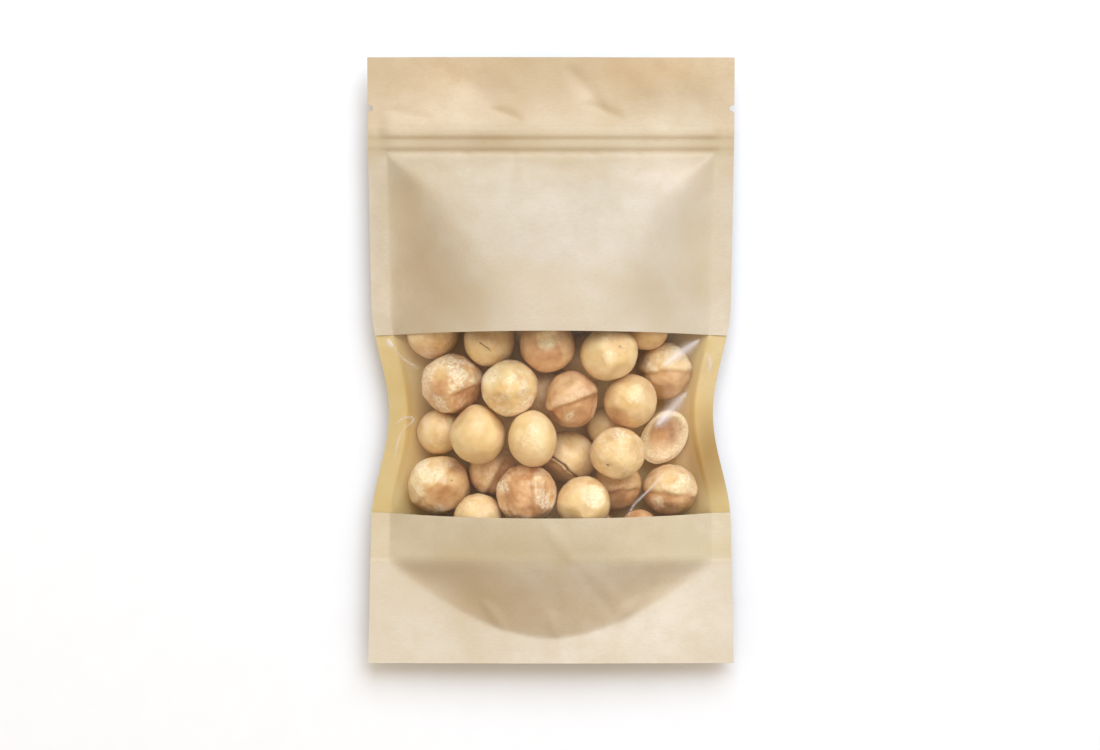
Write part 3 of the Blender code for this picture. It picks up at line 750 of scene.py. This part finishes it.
def makeGusset():
    topOfLeg = foldLine - gusset["foldBelow"]
    leg = np.linspace(0.2, topOfLeg, gusset["legRows"])
    angles = np.linspace(0, math.pi, gusset["foldRows"] + 2)[1:-1]
    rowY = np.concatenate([leg, topOfLeg + 0 * angles, leg[::-1]])
    rowSide = np.concatenate([leg * 0 + 1, np.cos(angles), leg * 0 - 1])
    rowOut = np.concatenate([leg * 0, np.sin(angles), leg * 0])
    piece, share, row = layGrid("bottomGusset", placeColumns(*meshing["gussetColumns"]), len(rowY))
    y, side = rowY[row], rowSide[row]
    x = share * halfWidth(y)
    bulge = filledHeight(x, y)
    bulge = np.where(side > 0, bulge, np.minimum(bulge, gusset["backBulge"]))
    follow = gusset["followBulge"] * bulge * (1 - stepUp(y, foldLine / 2, topOfLeg))
    z = side * (gusset["legApart"] + flapOpening(x, y) + follow) + seamWave(x, y)
    # the inner webs' row of tone, which is partly painted light
    paintPoints(piece, "tint", paperTint(x, y, [], y * 0 + innerToneAndShadeAt))
    points = np.stack([x, y + gusset["foldRadius"] * rowOut[row], z], axis=1)
    placeWeb(piece, points, webs["gusset"], 0, [kraft, paperEdge])
    finishPiece(piece, "kraft_laminate", "bottom_gusset")


makeGusset()

# The press-to-close zip. Each strip's section, in millimetres from the zip's middle: along y, then z.
zipSections = {
    "zipGrooveStrip": [(-1.9, 0.62), (-2.9, 0.46), (-2.9, 0.34), (-1.5, 0.3), (-1.35, -0.34), (-0.95, -0.42),
                       (-0.62, -0.2), (-0.9, 0.02), (-0.9, 0.3), (0.5, 0.3), (0.5, 0.02), (0.22, -0.2),
                       (0.55, -0.42), (0.95, -0.34), (1.1, 0.34), (1.7, 0.42), (1.7, 0.62)],
    "zipRibStrip": [(-1.9, -0.5), (-2.9, -0.28), (-2.9, -0.4), (-1.9, -0.62), (2.6, -0.62), (2.6, -0.5),
                    (0.1, -0.46), (0.02, -0.22), (0.26, 0.0), (0.02, 0.2), (-0.42, 0.2), (-0.66, 0.0),
                    (-0.42, -0.22), (-0.5, -0.46)],
}
zipStrip = {"shorter": 0.4, "edgeRadius": 0.04}


def makeZipStrip(name, section, node):
    curve = bpy.data.curves.new(name, "CURVE")
    curve.dimensions = "2D"
    curve.fill_mode = "BOTH"
    curve.extrude = (zipHalf - zipStrip["shorter"]) * mm
    spline = curve.splines.new("POLY")
    spline.points.add(len(section) - 1)
    for point, (y, z) in zip(spline.points, section):
        point.co = (y * mm, z * mm, 0, 1)
    spline.use_cyclic_u = True
    strip = bpy.data.objects.new(name, curve)
    bpy.context.scene.collection.objects.link(strip)
    strip.rotation_euler = (math.pi / 2, 0, math.pi / 2)
    strip.location = (0, bottomEdge + zipMiddle * mm, seamPlane)
    makeActive(strip)
    bpy.ops.object.convert(target="MESH")
    bpy.ops.object.transform_apply(location=True, rotation=True, scale=True)
    strip = bpy.context.object
    bpy.ops.object.mode_set(mode="EDIT")
    bpy.ops.mesh.select_all(action="SELECT")
    bpy.ops.mesh.remove_doubles(threshold=0.001 * mm)
    bpy.ops.mesh.normals_make_consistent(inside=False)
    bpy.ops.object.mode_set(mode="OBJECT")
    applyModifier(strip, "BEVEL", width=zipStrip["edgeRadius"] * mm, segments=2, limit_method="ANGLE")
    bpy.ops.object.shade_smooth_by_angle(angle=math.radians(35))
    strip.data.materials.clear()
    strip.data.materials.append(zipPlastic)
    finishPiece(strip, "zip_plastic", node)


for stripName, stripNode in (("zipGrooveStrip", "zip_groove_strip"), ("zipRibStrip", "zip_rib_strip")):
    makeZipStrip(stripName, zipSections[stripName], stripNode)
print("gusset and zip made")

# How each kernel looks from above, where it isn't plain. tone runs from cream (0) to tan (1), and flour is
# its dust. stretch is (direction, share): longer that way. flats are (direction, lean from straight up,
# depth, change of tone), with directions in degrees from +x, and a paler flat is dustier. A flat's change of
# tone is mostly painted light and shade: flats that face the lamp are mostly paler, as painted highlight,
# and flats that face away tanner, as painted shade. scarps are where one half stands proud of the other,
# from (x, y) to (x, y) in shares of the radius, with the drop on the right-hand side (on the left where it
# is negative) and how far it reaches; wander is how crooked they are. The lower side of a scarp is painted
# tanner, as painted shade, and its lip dustier, as painted highlight. splits are drawn the same way, with a
# width and a depth. patches are (x, y, size, change of tone, change of flour), and spots are dark pits,
# (x, y, size). Most patches are the kernel's own tone and dust, but the pale dusty ones on 2, 8 and 11 are
# painted highlights and the tan ones at the lower right of 17 and 18 painted shade. crisp is how sharp the
# edges of the flats are.
plainKernel = {"tone": 0.25, "flour": 0.2, "bumps": 0.8, "size": 1.0, "stretch": (0, 0.0), "crisp": 24,
               "wander": 0.09, "flats": [], "scarps": [], "splits": [], "patches": [], "spots": []}
kernelLooks = {
    1: {"tone": 0.25, "flour": 0.3, "flats": [(250, 40, 0.86, -0.1), (130, 30, 0.9, 0.1)],
        "splits": [((-0.4, -0.02), (0.06, -0.44), 0.032, 0.07)]},
    2: {"tone": 0.8, "flour": 0.12, "size": 1.03, "crisp": 40,
        "flats": [(80, 14, 0.87, -0.8), (270, 50, 0.88, 0.1)],
        "scarps": [((0.35, 0.5), (0.65, -0.6), 0.05, 0.6)], "patches": [(0.05, 0.12, 0.26, -0.6, 0.5)]},
    3: {"tone": 0.15, "flour": 0.25, "stretch": (20, 0.03), "crisp": 36,
        "flats": [(50, 28, 0.86, 0.4), (200, 36, 0.85, 0.05), (300, 55, 0.88, 0.2)],
        "patches": [(0.0, -0.15, 0.3, -0.4, 0.8), (-0.55, 0.0, 0.4, -0.3, -0.3), (-0.1, 0.75, 0.3, 0.1, 0.6)],
        "spots": [(0.42, 0.28, 0.04), (0.52, 0.2, 0.025)]},
    4: {"tone": 0.12, "flour": 0.75, "bumps": 1.5, "size": 1.02, "crisp": 40,
        "flats": [(40, 50, 0.85, 0.0), (140, 46, 0.85, -0.1), (245, 42, 0.86, 0.15), (320, 46, 0.86, 0.15)],
        "patches": [(-0.7, 0.55, 0.42, 0.1, 1.1), (-0.55, 0.0, 0.35, -0.2, -1.0),
                    (0.62, -0.2, 0.25, 0.1, 0.8), (0.15, 0.3, 0.3, -0.3, 0.6)]},
    5: {"tone": 0.76, "flour": 0.16, "bumps": 0.9, "stretch": (90, 0.05), "crisp": 30,
        "flats": [(290, 52, 0.83, 0.1), (110, 55, 0.9, 0.0)],
        "scarps": [((-1.1, -0.47), (1.1, 0.33), 0.08, 1.2)], "wander": 0.045,
        "patches": [(-0.15, -0.75, 0.34, -0.2, 0.9), (0.4, -0.35, 0.4, 0.1, -0.3)]},
    6: {"tone": 0.3, "flour": 0.2, "bumps": 1.0, "size": 1.04, "crisp": 34,
        "flats": [(20, 58, 0.88, 0.15), (232, 58, 0.84, 0.45), (95, 50, 0.88, 0.0)],
        "patches": [(0.1, 0.2, 0.36, -0.4, 0.7)]},
    7: {"tone": 0.1, "flour": 0.12, "bumps": 0.45, "size": 1.03, "stretch": (105, 0.04), "crisp": 26,
        "flats": [(142, 76, 0.82, 0.1), (270, 60, 0.9, 0.2), (30, 66, 0.9, 0.1)]},
    8: {"tone": 0.08, "flour": 0.06, "bumps": 0.4, "stretch": (95, 0.065),
        "flats": [(180, 70, 0.9, 0.15)],
        "patches": [(0.3, -0.45, 0.22, -0.1, 0.4), (0.05, 0.1, 0.55, -0.2, 0.75)]},
    9: {"tone": 0.2, "flour": 0.45, "bumps": 1.1, "size": 1.03, "stretch": (0, 0.03), "crisp": 38,
        "flats": [(10, 52, 0.87, 0.2), (245, 48, 0.87, 0.0), (125, 52, 0.87, 0.1)],
        "patches": [(0.05, 0.0, 0.3, -0.2, 0.5), (0.1, 0.8, 0.3, 0.1, 0.6)], "spots": [(-0.42, -0.47, 0.05)]},
    10: {"tone": 0.95, "flour": 0.55, "bumps": 2.2, "size": 1.04, "stretch": (0, 0.02), "crisp": 34,
         "flats": [(95, 60, 0.88, 0), (185, 45, 0.86, 0.1), (0, 50, 0.86, 0.1)],
         "scarps": [((0.28, 0.8), (0.3, -0.7), 0.05, 0.5)],
         "patches": [(0.65, -0.1, 0.34, -0.1, 1.0), (0.12, 0.45, 0.22, -0.5, 0.3),
                     (-0.25, -0.1, 0.5, 0.4, -1.0), (-0.85, 0.2, 0.22, 0.0, 0.9),
                     (0.35, -0.5, 0.2, 0.4, -0.6)]},
    11: {"tone": 0.25, "flour": 0.2, "size": 1.03, "crisp": 60,
         "flats": [(38, 34, 0.85, -0.9), (230, 40, 0.9, 0.1)],
         "scarps": [((0.02, 0.8), (0.22, -0.1), -0.03, 0.4)], "patches": [(0.42, 0.3, 0.34, -0.6, 1.0)]},
    12: {"tone": 0.2, "flour": 0.4, "bumps": 1.2, "flats": [(80, 40, 0.88, -0.1)]},
    15: {"tone": 0.4, "flour": 0.45, "bumps": 1.3, "flats": [(260, 45, 0.87, 0.1)]},
    16: {"tone": 0.4, "flour": 0.35, "bumps": 1.5, "stretch": (90, 0.05), "crisp": 30,
         "flats": [(80, 42, 0.88, -0.1), (262, 50, 0.88, 0.15)],
         "scarps": [((-1.3, 0.02), (1.3, 0.0), 0.042, 1.0)], "wander": 0.18,
         "patches": [(-0.45, 0.1, 0.22, -0.3, 0.8), (0.1, 0.5, 0.4, -0.2, 0.4)]},
    17: {"tone": 0.7, "flour": 0.85, "bumps": 2.2, "size": 1.055, "stretch": (0, 0.03), "crisp": 30,
         "flats": [(80, 38, 0.9, 0), (235, 50, 0.88, 0.1), (318, 46, 0.84, 0.25)],
         "scarps": [((-0.1, -0.35), (1.2, 0.15), 0.035, 1.0)],
         "patches": [(-0.38, -0.12, 0.32, 0.4, -1.2), (0.35, 0.3, 0.32, -0.5, 0.9),
                     (0.7, -0.45, 0.3, 0.4, -0.8), (-0.2, 0.7, 0.4, -0.1, 0.5),
                     (0.05, -0.1, 0.2, -0.3, 0.7), (-0.5, -0.6, 0.2, -0.2, 0.7)]},
    18: {"tone": 0.2, "flour": 0.6, "bumps": 1.2, "size": 1.05, "stretch": (0, 0.03), "crisp": 60,
         "wander": 0.05, "flats": [(312, 38, 0.82, 0.15), (135, 30, 0.88, -0.2), (200, 60, 0.88, 0.1),
                                   (60, 60, 0.9, 0.2)],
         "scarps": [((-1.35, -1.1), (0.7, 0.95), 0.024, 3.0)],
         "patches": [(-0.6, 0.45, 0.45, -0.1, 0.8), (0.1, 0.35, 0.25, -0.2, 0.8),
                     (-0.35, 0.0, 0.18, 0.3, -0.8), (0.25, -0.3, 0.5, 0.2, -0.5),
                     (0.0, -0.85, 0.25, 0.0, 0.6)],
         "spots": [(0.48, 0.2, 0.03)]},
    19: {"tone": 0.45, "flour": 0.4, "bumps": 1.5, "size": 1.02, "stretch": (0, 0.03), "crisp": 30,
         "flats": [(95, 34, 0.88, -0.1), (265, 52, 0.88, 0.15)],
         "scarps": [((-1.3, 0.14), (1.3, -0.2), 0.048, 1.0)], "wander": 0.16,
         "patches": [(-0.5, -0.5, 0.35, 0.1, 0.7), (0.5, 0.45, 0.2, -0.1, 0.8), (0.2, 0.1, 0.35, -0.2, 0.5)]},
    20: {"tone": 0.3, "flour": 0.2, "flats": [(60, 38, 0.88, 0.0), (240, 60, 0.9, 0.1)],
         "splits": [((-0.7, 0.06), (-0.2, -0.26), 0.042, 0.1), ((-0.22, -0.25), (-0.02, -0.54), 0.05, 0.12),
                    ((-0.04, -0.53), (0.45, -0.84), 0.04, 0.1)],
         "scarps": [((0.45, -0.84), (-0.7, 0.06), -0.03, 0.5)]},
    21: {"tone": 0.15, "flour": 0.35, "bumps": 1.2},
    22: {"tone": 0.6, "flour": 0.3, "bumps": 1.2, "crisp": 40, "wander": 0.04,
         "flats": [(325, 45, 0.82, 0.5), (150, 40, 0.88, -0.1)],
         "scarps": [((-0.55, -1.2), (0.45, 0.65), 0.045, 1.5)]},
    23: {"tone": 0.65, "flour": 0.2, "bumps": 1.2, "flats": [(90, 30, 0.88, -0.1), (270, 45, 0.85, 0.2)],
         "scarps": [((-0.9, -0.2), (0.9, -0.05), 0.06, 0.6)]},
    # 24 is paler and dustier, as painted light where it lies in shade, and 27 fully tan, as painted shade
    24: {"tone": 0.2, "flour": 0.5}, 25: {"tone": 0.55, "flour": 0.3}, 26: {"tone": 0.6, "flour": 0.25},
    27: {"tone": 1.0, "flour": 0.1, "size": 0.82},
}
finelyShaped = (1, 4, 5, 9, 10, 17, 18, 20)  # these have ridges and splits that need a finer mesh
# What all kernels share, in shares of the radius: how uneven they are at each scale, the lip and the step
# of a scarp, how deep a pit is, and how sharp the edge is where two kernels touch.
kernelForm = {"swell": 0.05, "trim": 0.018, "bumps": (0.016, 0.009, 0.004), "settle": 0.005, "lip": 0.5,
              "step": 2.3, "pit": 0.02, "touchEdge": 40, "touchGap": 0.05, "reachOfTouch": 1.2}


def touchingFlats(number):
    # where a kernel presses on its neighbours: the direction and depth of each contact, in shares of its ball
    centre, radius = balls[number]
    contacts = []
    for other, (otherCentre, otherRadius) in enumerate(balls):
        apart = (otherCentre - centre).length
        if other != number and apart < kernelForm["reachOfTouch"] * (radius + otherRadius):
            depth = apart / (radius + otherRadius) - kernelForm["touchGap"] * mm / radius
            contacts.append((np.array(otherCentre - centre) / apart, depth))
    return contacts


def noiseAt(points, size, seed):
    offset = Vector((seed * 7.31, seed * 3.17, seed * 1.71))
    return np.array([noise.noise(Vector(p) / size + offset) for p in points])


def fromLine(ways, start, end, wander):
    # how far right of a line on the kernel's upper side each direction lies, and whether it is beside it
    dx, dy = end[0] - start[0], end[1] - start[1]
    length = math.hypot(dx, dy)
    along = ((ways[:, 0] - start[0]) * dx + (ways[:, 1] - start[1]) * dy) / length**2
    off = ((ways[:, 0] - start[0]) * dy - (ways[:, 1] - start[1]) * dx) / length + wander
    beside = (ways[:, 2] > -0.1) * stepUp(along, -0.1, 0.12) * (1 - stepUp(along, 0.88, 1.1))
    return off, beside


def shapeKernel(ways, look, seed, contacts):
    # how far out the surface lies in each direction, in shares of the ball, and its skin
    angle, share = look["stretch"]
    axis = np.array([math.cos(math.radians(angle)), math.sin(math.radians(angle)), 0])
    low, middle, fine, tiny = (noiseAt(ways, s, seed) for s in (0.9, 0.42, 0.17, 0.08))
    flour = np.zeros(len(ways))
    uneven = kernelForm["swell"] * low
    distance = look["size"] * (1 + share * (2 * (ways @ axis) ** 2 - 1) + uneven - kernelForm["trim"])
    total = distance ** -look["crisp"]
    tone = np.full(len(ways), float(look["tone"]))
    for direction, lean, depth, toneChange in look["flats"]:
        a, l = math.radians(direction), math.radians(lean)
        normal = np.array([math.sin(l) * math.cos(a), math.sin(l) * math.sin(a), math.cos(l)])
        reach = np.maximum(ways @ normal, 0) / (depth * look["size"])
        total = total + reach ** look["crisp"]
        facet = stepUp(reach + 0.02 * fine, 0.97, 1.05)
        # painted light and shade: the flat's change of tone, and more dust on a paler one
        tone += toneChange * facet
        flour += 0.8 * max(-toneChange, 0) * facet
    distance = total ** (-1 / look["crisp"])
    for start, end, drop, reach in look["scarps"]:
        off, beside = fromLine(ways, start, end, look["wander"] * middle + 0.03 * fine)
        if drop < 0:
            off = -off
        lower = stepUp(off, -0.04, 0.15) * np.exp(-np.maximum(off - 0.15, 0) / reach)
        lip = np.exp(-((off + 0.12) / 0.2) ** 2)
        distance += beside * abs(drop) * (kernelForm["lip"] * lip - kernelForm["step"] * lower)
        # painted highlight on the lip, and painted shade, tanner and less dusty, on the lower side
        flour += (0.25 * lip - 0.3 * lower) * beside
        tone += 0.5 * lower * beside
    coarse, rough, grainy = kernelForm["bumps"]
    distance += look["bumps"] * (coarse * middle + rough * fine + grainy * tiny - kernelForm["settle"])
    for x, y, size, toneChange, flourChange in look["patches"]:
        off = np.hypot(ways[:, 0] - x, ways[:, 1] - y) / size
        patch = stepUp(1.3 - off + 0.5 * middle + 0.4 * fine, 0, 1) * (ways[:, 2] > 0)
        tone += toneChange * patch
        flour += flourChange * patch
    dark = np.zeros(len(ways))
    for start, end, width, depth in look["splits"]:
        off, beside = fromLine(ways, start, end, 0.04 * middle + 0.03 * fine)
        gap = np.exp(-((off / width) ** 2)) * beside
        distance -= depth * gap
        dark += gap**2
    for x, y, size in look["spots"]:
        pit = np.exp(-((np.hypot(ways[:, 0] - x, ways[:, 1] - y) / size) ** 2)) * (ways[:, 2] > 0)
        distance -= kernelForm["pit"] * pit
        dark += pit
    edge = kernelForm["touchEdge"]
    for normal, depth in contacts:
        reach = np.maximum(ways @ normal, 0.05) / depth
        distance = (distance**-edge + reach**edge) ** (-1 / edge)
    # random tone, and painted shade: the skin is made tanner low on the kernel
    tone += 0.35 * low + 0.25 * middle + 0.45 * stepUp(0.6 - ways[:, 2], 0, 0.9)
    flour += look["flour"] * stepUp(0.4 + 0.8 * low + 1.1 * middle + 0.9 * fine, 0, 1)
    return distance, np.clip(np.stack([tone, flour, dark, np.ones(len(ways))], axis=1), 0, 1)


def keepInside(points):
    # the webs press on the kernels that they touch
    x, y, z = (points / mm - np.array([0, bottomEdge / mm, seamHeight])).T
    z = np.clip(z, backHeight(x, y) + 0.1, frontHeight(x, y) - drape["sag"] - 0.25)
    return np.stack([points[:, 0], points[:, 1], z * mm + seamPlane], axis=1)


def makeKernels():
    for number, node in enumerate(kernelNames, start=1):
        look = {**plainKernel, **kernelLooks.get(number, {})}
        centre, radius = balls[number - 1]
        deselectAll()
        detail = 6 if number in finelyShaped else 5
        bpy.ops.mesh.primitive_ico_sphere_add(subdivisions=detail, radius=1)
        kernel = bpy.context.object
        kernel.name = f"macadamia{number:02d}"
        ways = readPoints(kernel.data)
        ways /= np.linalg.norm(ways, axis=1)[:, None]
        distance, skin = shapeKernel(ways, look, number, touchingFlats(number - 1))
        writePoints(kernel.data, keepInside(ways * (distance * radius)[:, None] + np.array(centre)))
        paintPoints(kernel, "skin", skin)
        makeActive(kernel)
        bpy.ops.object.shade_smooth()
        kernel.data.materials.append(kernelSkin)
        finishPiece(kernel, "kernel", node)


makeKernels()
print("kernels made:", len(kernelNames))

# One split cotyledon, hollow side up: half of a longer kernel with a thick pale rim. The dark patch in its
# hollow is a painted shadow under the steep wall.
halfLook = {"length": 1.0, "width": 0.8, "depth": 0.78, "lean": (14, 20, -24), "rim": 0.82, "hollow": 0.54,
            "shift": (1.2, -0.5, 0.0), "size": 1.05, "hollowShade": (-0.35, 0.42, 0.2)}


def makeHalfKernel():
    deselectAll()
    bpy.ops.mesh.primitive_uv_sphere_add(segments=96, ring_count=64, radius=1)
    half = bpy.context.object
    half.name = "macadamiaHalf"
    ways = readPoints(half.data)
    ways /= np.linalg.norm(ways, axis=1)[:, None]
    low, middle, fine = (noiseAt(ways, s, 91) for s in (0.8, 0.4, 0.16))
    across = np.hypot(ways[:, 0], ways[:, 1])
    upper = ways[:, 2] > 0
    # the upper half of the ball is folded down into the cut face and its hollow
    bowl = 1 - stepUp(across + 0.07 * low + 0.04 * middle, 0.3, halfLook["rim"])
    rim = 0.05 * np.exp(-(((across - 0.88) / 0.1) ** 2))
    hollow = -halfLook["hollow"] * bowl + rim + 0.03 * middle + 0.012 * fine
    shaped = ways * (1 - 0.03 * (0.5 + 0.5 * low) - 0.008 * middle)[:, None]
    shaped[:, 2] = np.where(upper, hollow * (1 - across**10), shaped[:, 2])
    sizes = np.array([halfLook["width"], halfLook["length"], halfLook["depth"]])
    shaped = shaped * sizes
    tx, ty, tz = (math.radians(a) for a in halfLook["lean"])
    turnX = np.array([[1, 0, 0], [0, math.cos(tx), -math.sin(tx)], [0, math.sin(tx), math.cos(tx)]])
    turnY = np.array([[math.cos(ty), 0, math.sin(ty)], [0, 1, 0], [-math.sin(ty), 0, math.cos(ty)]])
    turnZ = np.array([[math.cos(tz), -math.sin(tz), 0], [math.sin(tz), math.cos(tz), 0], [0, 0, 1]])
    shaped = shaped @ (turnZ @ turnY @ turnX).T
    # it fills the CAD solid's box
    spread = shaped.max(axis=0) - shaped.min(axis=0)
    scale = halfLook["size"] * max((halfHigh.x - halfLow.x) / spread[0], (halfHigh.y - halfLow.y) / spread[1])
    shaped = (shaped - (shaped.max(axis=0) + shaped.min(axis=0)) / 2) * scale
    writePoints(half.data, shaped + np.array((halfLow + halfHigh) / 2) + np.array(halfLook["shift"]) * mm)
    # a painted shadow in the hollow, under its steep upper wall
    hollowShadeX, hollowShadeY, hollowShadeSize = halfLook["hollowShade"]
    hollowShade = upper * np.exp(-((np.hypot(ways[:, 0] - hollowShadeX, ways[:, 1] - hollowShadeY) / hollowShadeSize) ** 2))
    tone = np.clip(0.25 + 0.75 * upper * bowl + 0.2 * low, 0, 1)
    flour = np.clip(0.7 * upper * (1 - bowl) + 0.1, 0, 1)
    skin = np.stack([tone, flour, 0.45 * hollowShade, tone * 0 + 1], axis=1)
    paintPoints(half, "skin", skin)
    makeActive(half)
    bpy.ops.object.shade_smooth_by_angle(angle=math.radians(50))
    half.data.materials.append(kernelSkin)
    finishPiece(half, "kernel", "kernel_half")


makeHalfKernel()

# A pale sweep in a warm white room that is brighter overhead, and one large soft cool light from the zip end.
studio = {
    "cameraHeight": 0.917, "lens": 100.0, "sensor": 36.0, "lookX": -0.3, "lookY": 86.4,
    "horizon": (0.3, 0.25, 0.19), "zenith": (1.08, 0.925, 0.74), "keyFrom": (0.2, 0.6, 0.775),
    "keyDistance": 1.2, "keySize": 1.05, "keyPower": 15.9, "keyColour": (0.71, 0.84, 1.0),
}


def makeKeyLight():
    # a square soft box that faces the pouch
    data = bpy.data.lights.new("keyLight", "AREA")
    data.shape = "SQUARE"
    data.size = studio["keySize"]
    data.energy = studio["keyPower"]
    data.color = studio["keyColour"]
    light = bpy.data.objects.new("keyLight", data)
    bpy.context.scene.collection.objects.link(light)
    away = Vector(studio["keyFrom"]).normalized()
    light.location = away * studio["keyDistance"]
    light.rotation_euler = away.to_track_quat("Z", "Y").to_euler()


def makeStudio():
    scene = bpy.context.scene
    scene.view_settings.view_transform = "Standard"
    world = bpy.data.worlds.new("whiteRoom")
    scene.world = world
    world.use_nodes = True
    ways = addNode(world, "TexCoord").outputs["Generated"]
    height = addNode(world, "SeparateXYZ", Vector=ways)
    sky = addNode(world, "Mix", {"data_type": "RGBA"}, i0=height.outputs["Z"],
                  i6=studio["horizon"] + (1.0,), i7=studio["zenith"] + (1.0,))
    plugIn(world, world.node_tree.nodes["Background"], {"Color": sky.outputs[2]})
    makeKeyLight()

    deselectAll()
    bpy.ops.mesh.primitive_plane_add(size=6, location=(0, 0, 0))
    floor = bpy.context.object
    floor.name = "floor"
    material, shader, place = newMaterial("paintedSweep")
    tooth = addNode(material, "TexNoise", Vector=place, Scale=90.0, Detail=2.0)
    tint = setRamp(addNode(material, "ValToRGB", Fac=tooth), (0.3, "#E8EAEE"), (0.7, "#EAECF0"))
    plugIn(material, shader, {"Base Color": tint, "Roughness": 0.9})
    floor.data.materials.append(material)

    lens = bpy.data.cameras.new("camera")
    lens.lens = studio["lens"]
    lens.sensor_width = studio["sensor"]
    camera = bpy.data.objects.new("camera", lens)
    scene.collection.objects.link(camera)
    aim = Vector((studio["lookX"] * mm, bottomEdge + studio["lookY"] * mm, seamPlane))
    camera.location = aim + Vector((0, 0, studio["cameraHeight"]))
    scene.camera = camera


makeStudio()
print("studio made")
